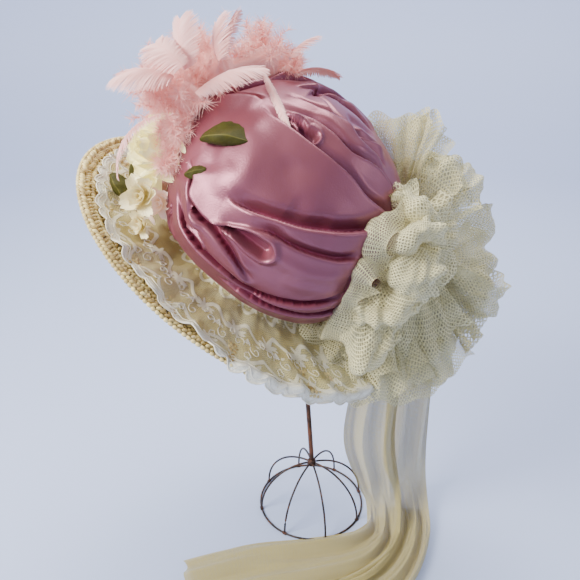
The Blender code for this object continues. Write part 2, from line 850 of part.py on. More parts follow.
def make_hat():
    straw, satin, lace = make_straw(), make_cover(), make_lace()
    cutters = [cover_cutter(), brim_cutter()]
    pouf = make_pouf(cutters)
    placed = [straw, satin, lace]
    cutters.append(make_bloom("rose", ROSE_PLACE, "rose", 20, 9, rose_shape, placed))
    for number, row in enumerate(BLOSSOMS):
        shaper = partial(blossom_shape, row[3])
        cutters.append(make_bloom(f"blossom_{number + 1}", row[:3], "blossom", 15, 7, shaper, placed))
    placed.append(make_down(cutters))
    for number, row in enumerate(LEAVES):
        lay_on(blade(f"leaf_{number + 1}", row, LEAF_WIDTH, LEAF_WALL, "leaf"), placed)
    lay_on(make_petal(), placed)
    for number, row in enumerate(FEATHERS):
        lay_on(blade(f"feather_{number + 1}", row, FEATHER_WIDTH, FEATHER_WALL, "feather"), placed)
    return straw, lace, pouf


def main():
    make_stand()
    straw, lace, pouf = make_hat()
    HAT.rotation_mode = "YXZ"
    HAT.rotation_euler = (HAT_ROLL, HAT_TILT, 0)
    HAT.location = (HAT_ASIDE, HAT_AHEAD, STAND_HEIGHT)
    bpy.context.view_layer.update()
    stand = [piece for piece in PARTS.objects if piece.name.startswith("top_")]
    seat(HAT, straw, stand, (0, 0, -1), RUN_UP)
    for number, table in enumerate(TAILS):
        make_tail(f"streamer_{number + 1}", table, (straw, lace, pouf))
    bpy.context.view_layer.update()
    corners = []
    for piece in PARTS.objects:
        if piece.type != "EMPTY":
            corners += world_mesh(piece)[0]
    for axis in (0, 1):
        values = [corner[axis] for corner in corners]
        STANDING.location[axis] = -(min(values) + max(values)) / 2
    bpy.context.view_layer.update()


main()
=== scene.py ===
"""The looks of a wide brim hat on a wire hat stand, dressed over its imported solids. Metres, +Z up.

The hat's pieces are worked out in the hat's own frame, +X to the back of the head, +Y to the wearer's
right and +Z up through the crown, and are then tilted with it onto the stand."""

from math import atan2, cos, pi, radians, sin, tau

import bpy
import numpy as np
from mathutils import Matrix, Vector


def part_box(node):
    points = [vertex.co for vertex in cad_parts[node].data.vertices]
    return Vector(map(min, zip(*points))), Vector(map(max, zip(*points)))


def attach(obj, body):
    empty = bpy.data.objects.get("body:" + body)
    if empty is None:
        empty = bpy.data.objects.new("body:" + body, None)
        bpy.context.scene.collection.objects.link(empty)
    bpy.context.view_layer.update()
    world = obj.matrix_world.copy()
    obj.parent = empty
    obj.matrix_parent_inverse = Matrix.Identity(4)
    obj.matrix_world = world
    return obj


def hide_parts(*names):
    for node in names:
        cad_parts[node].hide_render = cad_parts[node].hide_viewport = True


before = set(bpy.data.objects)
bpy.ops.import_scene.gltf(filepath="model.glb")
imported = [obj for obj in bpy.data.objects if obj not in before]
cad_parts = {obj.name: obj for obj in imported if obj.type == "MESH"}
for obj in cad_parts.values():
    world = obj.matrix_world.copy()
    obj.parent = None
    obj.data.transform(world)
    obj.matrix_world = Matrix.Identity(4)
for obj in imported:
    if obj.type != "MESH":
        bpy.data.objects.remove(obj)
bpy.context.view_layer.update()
RANDOM = np.random.default_rng(12)

# Stand
WIRE_RADIUS = 0.0012
SHAFT_RADIUS = 0.0028
RIB_START = 0.0058
BINDING_LENGTH = 0.0044
BINDING_REACH = 0.0016
BINDING_WIRE = 0.00055
COIL_WIRE = 0.0007
WIRE_INSET = 0.0006

# Straw hat
HEAD_LENGTH = 0.188
HEAD_WIDTH = 0.168
CROWN_HEIGHT = 0.100
BRIM_LENGTH = 0.376
BRIM_WIDTH = 0.332
STRAW_WALL = 0.0022
PLAIT_WIDTH = 0.0105
PLAIT_RELIEF = 0.0006
PLAIT_STRANDS = 240
GRAIN_RADIUS = 0.00165
RIM_GRAIN_RADIUS = 0.0017

# Satin cover
COVER_HALF = np.array([0.1226, 0.1287, 0.1049])
COVER_MIDDLE = np.array([-0.0127, 0.0, 0.0732])
COVER_LOW = -40
SATIN_WALL = 0.0018
# Millimetres in a step of 1 over directions, half width of a fold's lip in mm, and how far past its line a
# fold is worked out, in radians
COVER_REACH = 119
LIP = 3.2
FOLD_REACH = 0.45

# Lace
LACE_LIFT = 0.0012
RUFFLE_RISE = 0.0055
LACE_DROP = 0.011
LACE_REACH = 1.075
LACE_FRONT = 0.84
SCALLOPS = 60
SCALLOP_DEPTH = 0.0045
LACE_WIDTH = 0.085
LACE_PER_RADIAN = 0.144
SPRIGS = 30
CORD_RAISE = np.array([0, 0, 0.0003])

# How the hat sits on the stand
HAT_TILT = radians(36)
HAT_ROLL = radians(13.3)
HAT_PLACE = (-0.065, -0.010, 0.3407)

# Camera, from the middle of the stand's foot
CAMERA_PLACE = (-0.0273, -0.5778, 0.5561)
CAMERA_PITCH = radians(24)
CAMERA_LENS = 36

# The floor from the stand's middle out and up to the backdrop's top
BACKDROP = ((0.0, 0.0), (0.9, 0.0), (1.9, 0.0), (2.3, 0.03), (2.65, 0.16), (2.9, 0.42), (3.0, 0.8), (3.0, 1.6),
            (3.0, 2.6))
HAT_MIDDLE = (0, 0, 0.33)
LIGHTS = (
    # name, place and aim from the middle of the stand's foot, size, power
    ("window", (-0.92, -0.6, 1.05), HAT_MIDDLE, 0.65, 36),
    ("overhead", (0.25, 0.35, 1.5), HAT_MIDDLE, 0.7, 9),
    ("side", (1.3, -0.5, 0.7), HAT_MIDDLE, 0.7, 4),
    ("backdrop", (0.0, 0.9, 2.4), (0, 3.0, 0.5), 1.2, 95),
)

CROWN_SECTIONS = (
    # reach, height
    (0.00, 1.00),
    (0.45, 0.985),
    (0.72, 0.92),
    (0.87, 0.76),
    (0.93, 0.45),
    (0.98, 0.12),
    (1.01, 0.03),
)
BRIM_SECTIONS = (
    # share of the brim's width, height as a share of the crown's
    (0.05, 0.00),
    (0.35, -0.02),
    (0.70, -0.03),
    (0.93, -0.01),
    (1.00, 0.015),
)
# Folds of the satin: points in degrees round and up, depth in mm, reach of its lip and of its hollow in mm,
# and the side that the lip is on, 1 to the left of the line and -1 to the right
SATIN_FOLDS = (
    (((-157, 46), (-142, 48), (-124, 50), (-104, 51), (-88, 50), (-73, 46), (-56, 43), (-46, 42)), 12, 12, 15, -1),
    (((-160, 49), (-144, 55), (-129, 61), (-112, 63), (-91, 61), (-63, 61), (-47, 55), (-40, 51)), 9, 7, 11, -1),
    (((170, 70), (-165, 74), (-140, 74), (-112, 74), (-83, 70), (-58, 68), (-40, 64)), 7, 9, 10, -1),
    (((-126, 12), (-120, 13), (-113, 15), (-104, 19), (-96, 22), (-87, 26), (-77, 30), (-64, 35), (-52, 38)),
     11, 9, 17, -1),
    (((-112, 10), (-105, 13), (-95, 14), (-85, 16), (-74, 19), (-66, 24)), 7, 8, 10, -1),
    (((-141, 6), (-136, 1), (-129, -1), (-123, 0), (-118, 4)), 6, 6, 9, 1),
    (((-144, 5), (-142, 3), (-138, -1), (-129, -4), (-120, -4), (-109, -7), (-98, -13)), 7, 7, 8, -1),
    (((-147, -5), (-141, -10), (-134, -15), (-123, -17), (-113, -17), (-104, -17), (-94, -17), (-83, -13), (-73, -8),
      (-65, -1), (-57, 9)), 9, 7, 8, -1),
    (((-112, -22), (-101, -21), (-91, -20), (-81, -18), (-70, -15), (-60, -9), (-52, 0)), 8, 6, 7, -1),
    (((-150, 8), (-142, 6), (-136, 0), (-130, -7), (-124, -8)), 5, 5, 6, 1),
    (((-52, -8), (-58, 2), (-62, 13), (-60, 24), (-54, 32)), 4, 6, 9, -1),
    # back and front
    (((40, -16), (22, -4), (14, 8), (14, 24), (22, 38)), 6, 8, 9, -1),
    (((-24, -18), (-14, 0), (-10, 14), (-12, 30), (-20, 46)), 6, 8, 9, 1),
    (((175, 62), (150, 72), (90, 78), (30, 74)), 5, 7, 8, 1),
    (((-178, 30), (178, 42), (168, 52)), 5, 7, 8, 1),
)
# Soft swells between the folds: points in degrees round and up, height in mm and half width in mm
SATIN_SWELLS = (
    (((-162, 38), (-147, 39), (-136, 36), (-130, 30), (-128, 23), (-130, 14), (-128, 8)), 3.5, 13),
    (((-150, 27), (-147, 21), (-142, 16), (-137, 12)), -2.0, 10),
    (((-118, 44), (-114, 37), (-106, 30), (-96, 28)), -2.0, 11),
    (((-104, 4), (-95, 7), (-84, 8), (-73, 12), (-64, 18)), 3.0, 8),
    (((-100, 78), (-60, 76), (-30, 70)), 3.0, 6),
    (((-125, 82), (-60, 84), (-10, 78)), -3.0, 6),
    (((-106, 26), (-95, 27), (-84, 30)), -2.0, 12),
    (((-92, 0), (-83, 1), (-73, 4), (-65, 9)), 2.0, 9),
    (((-126, -10), (-114, -11), (-104, -12), (-96, -14)), 3.5, 6),
    (((-141, 0), (-129, -6), (-117, -7), (-106, -6), (-98, -5)), 3.0, 6),
    (((-72, 19), (-66, 19), (-60, 14)), 2.0, 5),
    (((-152, 52), (-138, 54), (-118, 53), (-96, 53), (-70, 50)), 2.5, 6),
    (((-140, 66), (-120, 68), (-90, 66), (-60, 64)), 2.5, 6),
    (((30, 10), (0, 16), (-30, 14)), -2.5, 12),
)
# Pockets that folds close round: points in degrees round and up, depth in mm and half width in mm
SATIN_POCKETS = (
    (((-125, -1), (-116, 3), (-110, 5), (-103, 6)), 10, 8.5),
    (((-138, -12), (-133, -14), (-128, -14), (-123, -14)), 6, 4.5),
    (((-146, -14), (-144, -20), (-144, -25), (-140, -29)), 5, 3.5),
    (((-142, 52), (-133, 55), (-126, 55), (-120, 56)), 7, 5),
)
# The far side's folds are the near side's, turned and risen by this many degrees
FAR_SHIFT = (7, -4)

# Loops of the net pouf: degrees round and up, reach and size, degrees that the loop is turned from facing the
# front, thickness as a share of its size, pleats and seed
POUF_LOOPS = (
    # round, up, reach, size, face, thick, pleats, seed
    (12, 39, 1.20, 0.84, 20, 0.60, 3, 3),
    (11, 41, 1.43, 0.72, -15, 0.65, 3, 4),
    (3, 18, 1.61, 1.02, 10, 0.70, 3, 5),
    (-10, 26, 1.13, 0.80, -25, 0.70, 3, 6),
    (-5, 5, 1.68, 0.98, -10, 0.65, 4, 7),
    (-16, -5, 1.44, 0.92, 15, 0.70, 4, 8),
    (-12, -8, 1.83, 0.68, 25, 0.55, 3, 11),
    (-22, 2, 1.09, 0.66, -30, 0.75, 3, 12),
    (8, 5, 1.50, 0.90, 60, 0.75, 4, 13),
    (-40, 46, 1.12, 0.42, 30, 0.85, 2, 14),
    (-48, 36, 1.16, 0.50, -20, 0.80, 2, 15),
    (-46, 23, 1.17, 0.56, 15, 0.80, 2, 16),
    (-50, 8, 1.18, 0.56, -25, 0.80, 3, 17),
    (-46, -10, 1.24, 0.56, 20, 0.80, 3, 18),
)
# Fans of the net pouf: the same, with the degrees that a fan spreads over in place of its thickness
POUF_FANS = (
    # round, up, reach, size, face, spread, pleats, seed
    (31, 61, 1.22, 0.42, 0, 40, 3, 21),
    (26, 52, 1.32, 0.58, 10, 36, 3, 22),
    (38, 56, 1.22, 0.42, 40, 44, 3, 23),
    (-24, -18, 1.60, 0.78, -5, 74, 6, 24),
    (-34, -23, 1.48, 0.66, 10, 74, 6, 25),
    (-30, -12, 1.30, 0.70, 15, 80, 6, 26),
    (0, 10, 1.70, 0.90, 30, 80, 7, 27),
)
# The frill between the satin and the pouf: degrees round and up, reach
FRILL = (
    (-44, 55, 1.05), (-40, 50, 1.10), (-48, 44, 1.12), (-58, 38, 1.07), (-60, 31, 1.06), (-56, 23, 1.06),
    (-60, 17, 1.06), (-60, 11, 1.07), (-57, 0, 1.07), (-51, -13, 1.10), (-48, -22, 1.16),
)
# The way to the camera in degrees round and up, the pouf's root and the radius of a loop of size 1
TO_CAMERA = (-116, 24)
POUF_ROOT = (-6, 20, 0.98)
POUF_UNIT = 0.050

# Down, feathers, flowers and leaves, placed in degrees round and up and a share of the cover's reach
DOWN_LOBES = (
    # round, up, reach, size
    (178, 14, 1.19, 0.85),
    (-174, 16, 1.10, 1.00),
    (170, 29, 1.13, 1.05),
    (152, 45, 1.12, 0.80),
    (133, 52, 1.06, 0.50),
    (-163, 8, 1.02, 0.50),
    (-157, 0, 1.00, 0.36),
)
DOWN_UNIT = 0.032
FEATHERS = (
    # root, tip, bow, width, turn, share of the part's laying that it follows
    (176, 19, 1.20, 170, 25, 1.47, 0.10, 1.0, 20, 1),
    (166, 28, 1.14, 160, 38, 1.40, 0.08, 0.8, -15, 1),
    (-176, 18, 1.24, -177, 5, 1.48, 0.14, 1.2, 0, 1),
    (-166, 10, 1.19, -159, -17, 1.30, 0.22, 0.4, 0, 1),
    (-166, 24, 1.16, -169, 50, 1.17, 0.12, 0.9, 0, 1),
    (177, 50, 1.08, -129, 49, 1.01, 0.05, 0.26, 10, 0),
    (143, 51, 1.12, 127, 55, 1.33, 0.10, 0.7, 0, 1),
    (131, 48, 1.02, 100, 54, 1.15, 0.16, 0.6, 0, 1),
    (170, 14, 1.20, 165, 10, 1.42, 0.10, 1.1, 10, 1),
    (162, 24, 1.12, 155, 27, 1.36, 0.12, 1.0, -10, 1),
)
FEATHER_WIDTH = 0.030
BARBS = 110
LEAVES = (
    # root, tip, bow, width, turn
    (-156, 15, 0.98, -141, 33, 0.92, 0.20, 1.2, 0),
    (-163, -28, 1.27, -169, -23, 1.36, 0.10, 1.1, 40),
    (-150, -1, 0.96, -145, 9, 0.92, 0.10, 0.6, 0),
    (-163, -22, 1.20, -165, -14, 1.22, 0.10, 0.5, 30),
)
LEAF_WIDTH = 0.018
ROSE_FACING = (-140, 10)
BLOSSOM_FACINGS = ((-125, 10), (-112, 0), (-128, -12))
PETAL_BLADE = (-150, -22, 1.12, -147, -31, 1.10, 0.15, 1, 0)
PETAL_WIDTH = 0.013

# Tulle tails, from the pouf to the floor and along it, in stand-ring radii; width, fold and turn in degrees
RING_RADIUS = 0.065
TULLE_WIDTH = 0.100
TULLE_FOLD = 0.008
TULLE_WALL = 0.0012
TULLE_CLOTH = (0.13, 0.85)
TAIL_TUCK = 0.012
TAILS = (
    (
        (1.12, -0.60, 0.00, 0.50, 1.0, 0),
        (0.98, -0.60, 2.10, 0.60, 1.1, 0),
        (1.20, -0.58, 1.00, 0.50, 1.1, 0),
        (1.32, -0.66, 0.40, 0.42, 1.0, -20),
        (1.22, -1.04, 0.00, 0.48, 1.1, -50),
        (0.75, -1.42, 0.00, 0.70, 1.0, -70),
        (-0.10, -1.64, 0.00, 0.85, 0.8, -80),
        (-1.10, -1.85, 0.00, 0.95, 0.7, -80),
        (-2.20, -2.25, 0.00, 0.95, 0.6, -72),
    ),
    (
        (1.80, 0.05, 0.00, 0.50, 1.0, 0),
        (1.78, 0.05, 2.00, 0.54, 1.1, 0),
        (1.80, 0.00, 0.90, 0.52, 1.1, -5),
        (1.92, -0.15, 0.30, 0.42, 1.0, -15),
        (1.88, -0.80, 0.00, 0.44, 1.1, -40),
        (1.50, -1.60, 0.00, 0.50, 1.0, -55),
        (0.80, -2.20, 0.00, 0.65, 0.8, -62),
        (-0.10, -2.62, 0.00, 0.75, 0.7, -66),
        (-1.10, -2.95, 0.00, 0.75, 0.6, -70),
    ),
)


# Places


def middle_of(node):
    low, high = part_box(node)
    return (low + high) / 2


def axis_of(node):
    """The middle of a node, brought down to height 0."""
    middle = middle_of(node)
    middle.z = 0
    return middle


AXIS = axis_of("base_ring")
HAT_TURN = Matrix.Rotation(HAT_ROLL, 3, "X") @ Matrix.Rotation(HAT_TILT, 3, "Y")
HAT_TURN_ROWS = np.array(HAT_TURN)
HAT_ORIGIN = np.array(AXIS) + np.array(HAT_PLACE)


def to_world(points):
    """Points from the hat's frame to the row frame."""
    return np.asarray(points) @ HAT_TURN_ROWS.T + HAT_ORIGIN


def stacked(*values):
    """Values side by side in a last axis, each spread to the shape of all."""
    return np.stack(np.broadcast_arrays(*values), -1)


def oval(long, wide, turn, height):
    """Points round an upright line, at a turn in radians."""
    return stacked(long * np.cos(turn), wide * np.sin(turn), height)


def half_sizes(reach, out):
    """Half length and half width of the hat, from shares of the head's opening and of the brim's width."""
    return (HEAD_LENGTH / 2 * reach + (BRIM_LENGTH - HEAD_LENGTH) / 2 * out,
            HEAD_WIDTH / 2 * reach + (BRIM_WIDTH - HEAD_WIDTH) / 2 * out)


def heading(turn, rise):
    """Unit directions at degrees round from the back of the head and up from level."""
    turn, rise = np.radians(turn), np.radians(rise)
    return stacked(np.cos(rise) * np.cos(turn), np.cos(rise) * np.sin(turn), np.sin(rise))


def spot(turn, rise, reach):
    """Points off the cover's middle, at a share of the cover's size."""
    return COVER_MIDDLE + heading(turn, rise) * COVER_HALF * np.asarray(reach, float)[..., None]


def share(low, high, amount):
    return low + (high - low) * amount


def smooth(low, high, value):
    t = np.clip((value - low) / (high - low), 0, 1)
    return t * t * (3 - 2 * t)


def unit(vectors):
    return vectors / np.maximum(np.linalg.norm(vectors, axis=-1, keepdims=True), 1e-9)


def ripple(places, scale, seed):
    """Smooth noise from -1 to 1 at places, as a sum of slanted waves with lengths near scale."""
    random = np.random.default_rng(seed)
    total = 0
    for _ in range(7):
        way = unit(random.normal(size=3)) * tau / (scale * random.uniform(0.6, 1.6))
        total = total + np.sin(places @ way + random.uniform(0, tau))
    return total / 3.5


def spline(points, count):
    """A smooth line of count points through the given ones."""
    points = np.asarray(points, float)
    places = np.linspace(0, len(points) - 1, count)
    k = np.minimum(places.astype(int), len(points) - 2)
    t = (places - k)[:, None]
    before, after = points[np.maximum(k - 1, 0)], points[np.minimum(k + 2, len(points) - 1)]
    a, b = points[k], points[k + 1]
    m0, m1 = (b - before) / 2, (after - a) / 2
    return (a * (2 * t**3 - 3 * t**2 + 1) + m0 * (t**3 - 2 * t**2 + t)
            + b * (3 * t**2 - 2 * t**3) + m1 * (t**3 - t**2))


# Meshes


def add_piece(name, points, faces, finish, slot, nodes=(), uv=None, crease=None):
    """A piece that rides on the part; uv is per face corner, crease a number per point, row or column, kept as a
    colour attribute: painted shade in the satin's folds, and a share of the way or a tint on the other pieces.
    """
    mesh = bpy.data.meshes.new(name)
    faces = faces.tolist() if isinstance(faces, np.ndarray) else faces
    mesh.from_pydata(points.reshape(-1, 3).tolist(), [], faces)
    if uv is not None:
        mesh.uv_layers.new(name="cut").data.foreach_set("uv", np.asarray(uv, np.float32).ravel())
    if crease is not None:
        shown = mesh.color_attributes.new("crease", "FLOAT_COLOR", "POINT")
        flat = np.ones((len(mesh.vertices), 4), np.float32)
        flat[:, :3] = np.broadcast_to(crease, points.shape[:-1]).reshape(-1, 1)
        shown.data.foreach_set("color", flat.ravel())
    mesh.shade_smooth()
    mesh.materials.append(finish)
    piece = bpy.data.objects.new(name, mesh)
    bpy.context.scene.collection.objects.link(piece)
    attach(piece, "root")
    if nodes:
        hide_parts(*nodes)
    return piece


def add_grid(name, points, finish, slot, nodes, u, v, crease=None, closed=False):
    """A piece from rows and columns of points; u and v are its places on the flat cloth."""
    faces = grid_faces(*points.shape[:2], closed)
    return add_piece(name, points, faces, finish, slot, nodes, grid_uv(u, v), crease)


def add_joined(name, parts, finish, slot, nodes=(), uv=None, crease=None):
    return add_piece(name, *join(parts), finish, slot, nodes, uv, crease)


def grid_faces(rows, columns, closed=False, first=0):
    span = columns if closed else columns - 1
    r, c = np.meshgrid(np.arange(rows - 1), np.arange(span), indexing="ij")
    after = (c + 1) % columns
    quads = np.stack([r * columns + c, (r + 1) * columns + c, (r + 1) * columns + after, r * columns + after], -1)
    return quads.reshape(-1, 4) + first


def grid_uv(u, v):
    """The corners' places on the flat cloth, from a row and a column of places, each one past the faces."""
    flat = stacked(u, v)
    return np.stack([flat[:-1, :-1], flat[1:, :-1], flat[1:, 1:], flat[:-1, 1:]], 2).reshape(-1, 2)


def join(parts):
    """Points and faces of several meshes as one."""
    points, faces, count = [], [], 0
    for some_points, some_faces in parts:
        some_points = np.asarray(some_points).reshape(-1, 3)
        points.append(some_points)
        faces += (np.asarray(some_faces) + count).tolist()
        count += len(some_points)
    return np.concatenate(points), faces


def frames_along(paths, hint):
    """Tangents and two cross directions along each path of an array of paths."""
    along = unit(np.gradient(paths, axis=-2))
    side = unit(np.cross(along, np.broadcast_to(hint, along.shape)))
    return along, side, np.cross(side, along)


def tubes(paths, radii, sides=6, hint=(0.12, 0.2, 0.97)):
    """Round strands along paths of shape (strands, points, 3)."""
    _, side, up = frames_along(paths, hint)
    turns = np.arange(sides) * tau / sides
    radii = np.broadcast_to(radii, paths.shape[:-1])[..., None, None]
    ring = np.cos(turns)[:, None] * side[..., None, :] + np.sin(turns)[:, None] * up[..., None, :]
    points = paths[..., None, :] + ring * radii
    strands, count = paths.shape[:2]
    faces = np.concatenate([grid_faces(count, sides, True, k * count * sides) for k in range(strands)])
    return points.reshape(-1, 3), faces


def ribbons(paths, halves, facing):
    """Flat strands along paths, seen flat along facing."""
    _, side, _ = frames_along(paths, facing)
    halves = np.broadcast_to(halves, paths.shape[:-1])[..., None]
    points = np.stack([paths - side * halves, paths + side * halves], -2)
    strands, count = paths.shape[:2]
    one = grid_faces(count, 2)
    faces = (one[None] + (np.arange(strands) * count * 2)[:, None, None]).reshape(-1, 4)
    return points.reshape(-1, 3), faces


def mesh_area(piece):
    return sum(face.area for face in piece.data.polygons)


# Finishes


class Tone:
    """A value that changes over a surface, with arithmetic that adds Math nodes."""

    def __init__(self, finish, socket):
        self.finish = finish
        self.socket = socket

    def maths(self, operation, *values):
        return self.finish.node("ShaderNodeMath", {"operation": operation}, dict(enumerate(values)))

    def __add__(self, other):
        return self.maths("ADD", self, other)

    def __sub__(self, other):
        return self.maths("SUBTRACT", self, other)

    def __rsub__(self, other):
        return self.maths("SUBTRACT", other, self)

    def __mul__(self, other):
        return self.maths("MULTIPLY", self, other)

    __radd__, __rmul__ = __add__, __mul__

    def __truediv__(self, other):
        return self.maths("DIVIDE", self, other)

    def __pow__(self, other):
        return self.maths("POWER", self, other)

    def fold(self, half):
        """Distance to the nearest multiple of twice half."""
        return self.maths("PINGPONG", self, half)

    def most(self, other):
        return self.maths("MAXIMUM", self, other)

    def size(self):
        return self.maths("ABSOLUTE", self)

    def floor(self):
        return self.maths("FLOOR", self)

    def sine(self):
        return self.maths("SINE", self)

    def step(self, low, high, start=0.0, end=1.0):
        """A soft step from start at low to end at high."""
        settings = {"interpolation_type": "SMOOTHSTEP"}
        values = {"Value": self, "From Min": low, "From Max": high, "To Min": start, "To Max": end}
        return self.finish.node("ShaderNodeMapRange", settings, values)


class Finish:
    """One material: its shader, with constants set on it, and the nodes that vary it."""

    def __init__(self, name, **constants):
        self.material = bpy.data.materials.new(name)
        self.material.use_nodes = True
        self.nodes = self.material.node_tree.nodes
        self.links = self.material.node_tree.links
        self.shader = self.nodes["Principled BSDF"]
        for socket, value in constants.items():
            self.shader.inputs[socket.replace("_", " ")].default_value = value
        self.places = self.node("ShaderNodeTexCoord", output="Object")

    def node(self, kind, settings=None, sockets=None, output=0):
        """A node with its settings and the values or links of its sockets; gives one output."""
        made = self.nodes.new(kind)
        for setting, value in (settings or {}).items():
            setattr(made, setting, value)
        for socket, value in (sockets or {}).items():
            if isinstance(value, Tone):
                self.links.new(value.socket, made.inputs[socket])
            else:
                made.inputs[socket].default_value = value
        return Tone(self, made.outputs[output])

    def flat(self):
        """The place on the flat cloth, along and across."""
        split = {"Vector": self.node("ShaderNodeUVMap")}
        return [self.node("ShaderNodeSeparateXYZ", None, split, output) for output in (0, 1)]

    def noise(self, scale, detail=2.0, roughness=0.5, stretch=None):
        places = self.places
        if stretch:
            values = {"Vector": places, "Scale": stretch}
            places = self.node("ShaderNodeMapping", None, values)
        values = {"Vector": places, "Scale": scale, "Detail": detail, "Roughness": roughness}
        return self.node("ShaderNodeTexNoise", None, values)

    def mix(self, amount, first, second):
        values = {"Factor": amount}
        for socket, colour in ((6, first), (7, second)):
            values[socket] = colour if isinstance(colour, Tone) else (*colour, 1)
        return self.node("ShaderNodeMix", {"data_type": "RGBA"}, values, 2)

    def crease(self):
        return self.node("ShaderNodeVertexColor", {"layer_name": "crease"})

    def bump(self, height, depth, strength=1.0):
        values = {"Height": height, "Distance": depth, "Strength": strength}
        self.feed("Normal", self.node("ShaderNodeBump", None, values))

    def feed(self, socket, value):
        self.links.new(value.socket, self.shader.inputs[socket])


def satin_finish():
    made = Finish("satin", Roughness=0.36, Metallic=0.45, Specular_IOR_Level=1.0, Sheen_Weight=0.04,
                  Sheen_Roughness=0.3)
    made.shader.inputs["Sheen Tint"].default_value = (1.0, 0.72, 0.82, 1)
    made.shader.inputs["Specular Tint"].default_value = (1.0, 0.74, 0.92, 1)
    # depth reads the crease attribute: the painted shade that fold_moves gives each point of the cover
    depth = made.crease()
    cloth = made.mix(made.noise(14, 3), (0.225, 0.060, 0.076), (0.265, 0.075, 0.094))
    # painted shade: the base colour turns deep crimson in the folds' hollows, in the pockets and just past the lips
    deep = made.mix(depth.step(0.12, 1.0) * 0.85, cloth, (0.20, 0.014, 0.042))
    made.feed("Base Color", deep)
    threads = made.noise(900, 1, 0.5, (1.0, 0.2, 1.0))
    made.feed("Roughness", made.noise(60, 2).step(0.2, 0.8, 0.35, 0.41) + 0.25 * depth)
    made.bump(threads + 0.6 * made.noise(55, 3), 0.00035, 0.35)
    return made.material


def straw_finish():
    made = Finish("straw", Roughness=0.55, Specular_IOR_Level=0.4, Sheen_Weight=0.15)
    u, v = made.flat()
    slant = u + 1.4 * v.fold(0.5)
    strand = made.node("ShaderNodeCombineXYZ", None, {0: slant.floor(), 1: (v * 2).floor()})
    tint = made.node("ShaderNodeTexWhiteNoise", {"noise_dimensions": "2D"}, {"Vector": strand})
    colour = made.mix(tint, (0.66, 0.50, 0.24), (0.88, 0.74, 0.44))
    aged = made.mix(made.noise(30, 4).step(0.45, 0.75), colour, (0.52, 0.38, 0.20))
    groove = slant.fold(0.5).step(0.0, 0.14)
    made.feed("Base Color", made.mix(groove, (0.25, 0.17, 0.08), aged))
    made.bump(groove + v.fold(0.5).step(0.0, 0.12) + 0.3 * made.noise(700, 2), 0.0007, 0.9)
    return made.material


def grain_finish():
    made = Finish("straw_grain", Roughness=0.42, Specular_IOR_Level=0.5, Sheen_Weight=0.1)
    colour = made.mix(made.crease(), (0.34, 0.21, 0.04), (0.93, 0.75, 0.30))
    made.feed("Base Color", made.mix(made.noise(220, 3).step(0.5, 0.8), colour, (0.60, 0.45, 0.25)))
    made.bump(made.noise(1500, 2, 0.5, (1, 1, 0.3)), 0.0002, 0.5)
    return made.material


def thread_lines(across, pitch, width, soft=0.25):
    """1 on threads of a width every pitch."""
    return across.fold(pitch / 2).step(width * (0.5 + soft), width * (0.5 - soft))


def lace_finish():
    """Corded lace: net ground, closer cloth inside the sprigs and a dense band along the scallops."""
    made = Finish("lace", Roughness=0.8, Sheen_Weight=0.1)
    u, v = made.flat()
    pitch = 0.0021
    ground = thread_lines(u + v, pitch, 0.0006).most(thread_lines(u - v, pitch, 0.0006))
    ground = ground.most(thread_lines(v, pitch, 0.0005))
    cell = 0.036
    uc = (u + 0.5 * cell * (v / cell).floor()).fold(cell / 2)
    vc = (v - 0.006).fold(cell / 2)
    radius = (uc * uc + vc * vc) ** 0.5
    turn = made.node("ShaderNodeMath", {"operation": "ARCTAN2"}, {0: vc, 1: uc})
    petals = 0.0075 + 0.0035 * (turn * 8).sine()
    inside = (radius - petals).step(0.0006, -0.0006)
    spray = (v.fold(0.03) - ((u * (tau / cell)).sine() * 0.006 + 0.014)).size().step(0.0028, 0.0018)
    cloth = inside.most(spray)
    weave = thread_lines(u, 0.0009, 0.0005).most(thread_lines(v, 0.0009, 0.0005)).step(0, 1, 0.72, 1.0)
    edge = made.crease().step(0.88, 0.95)
    cover = (ground * 0.85).most(cloth * weave).most(edge * weave * 0.85)
    made.feed("Alpha", cover.step(0.0, 1.0, 0.28, 1.0))
    tint = made.mix(made.noise(26, 4).step(0.35, 0.65), (0.74, 0.60, 0.20), (0.88, 0.79, 0.38))
    pale = made.mix(edge, (0.93, 0.86, 0.58), (0.95, 0.91, 0.72))
    made.feed("Base Color", made.mix(cloth.most(edge), tint, pale))
    made.bump(cloth + 0.5 * ground + edge, 0.0008, 0.8)
    return made.material


def cord_finish():
    made = Finish("lace_cord", Roughness=0.65, Sheen_Weight=0.3)
    made.feed("Base Color", made.mix(made.noise(90, 2), (0.78, 0.71, 0.52), (0.90, 0.86, 0.72)))
    made.bump(made.noise(1300, 1), 0.0002, 0.6)
    return made.material


def net_finish(name, pitch, thread, pale, deep, least):
    """Net cloth: threads with clear holes between, the holes painted darker as shade of the layers behind, and a
    closer selvedge.
    """
    made = Finish(name, Roughness=0.7, Sheen_Weight=0.25)
    u, v = made.flat()
    lean = 0.55
    lines = thread_lines(u + v * lean, pitch, thread).most(thread_lines(u - v * lean, pitch, thread))
    lines = lines.most(thread_lines(v, pitch * 1.2, thread * 0.8))
    edge = made.crease()
    made.feed("Alpha", lines.step(0, 1, least, 0.92).most(edge.step(0.5, 1.0) * 0.92))
    cloth = made.mix(made.noise(22, 3), deep, pale)
    # painted shade: the holes between the threads get a darker colour for the shaded layers of net seen through them
    made.feed("Base Color", made.mix(lines, made.mix(0.45, cloth, (0.10, 0.09, 0.05)), cloth))
    made.bump(lines, 0.0004, 0.5)
    return made.material


def feather_finish(name, pale, deep):
    # painted light: the barbs glow faintly with an emission of their own colour, lifting their shade
    made = Finish(name, Roughness=0.6, Sheen_Weight=0.3, Sheen_Roughness=0.4, Emission_Strength=0.13)
    barb = made.mix(made.crease(), deep, pale)
    made.feed("Base Color", barb)
    # painted light: emission in the barbs' colour
    made.feed("Emission Color", barb)
    made.bump(made.noise(900, 2), 0.0002, 0.4)
    return made.material


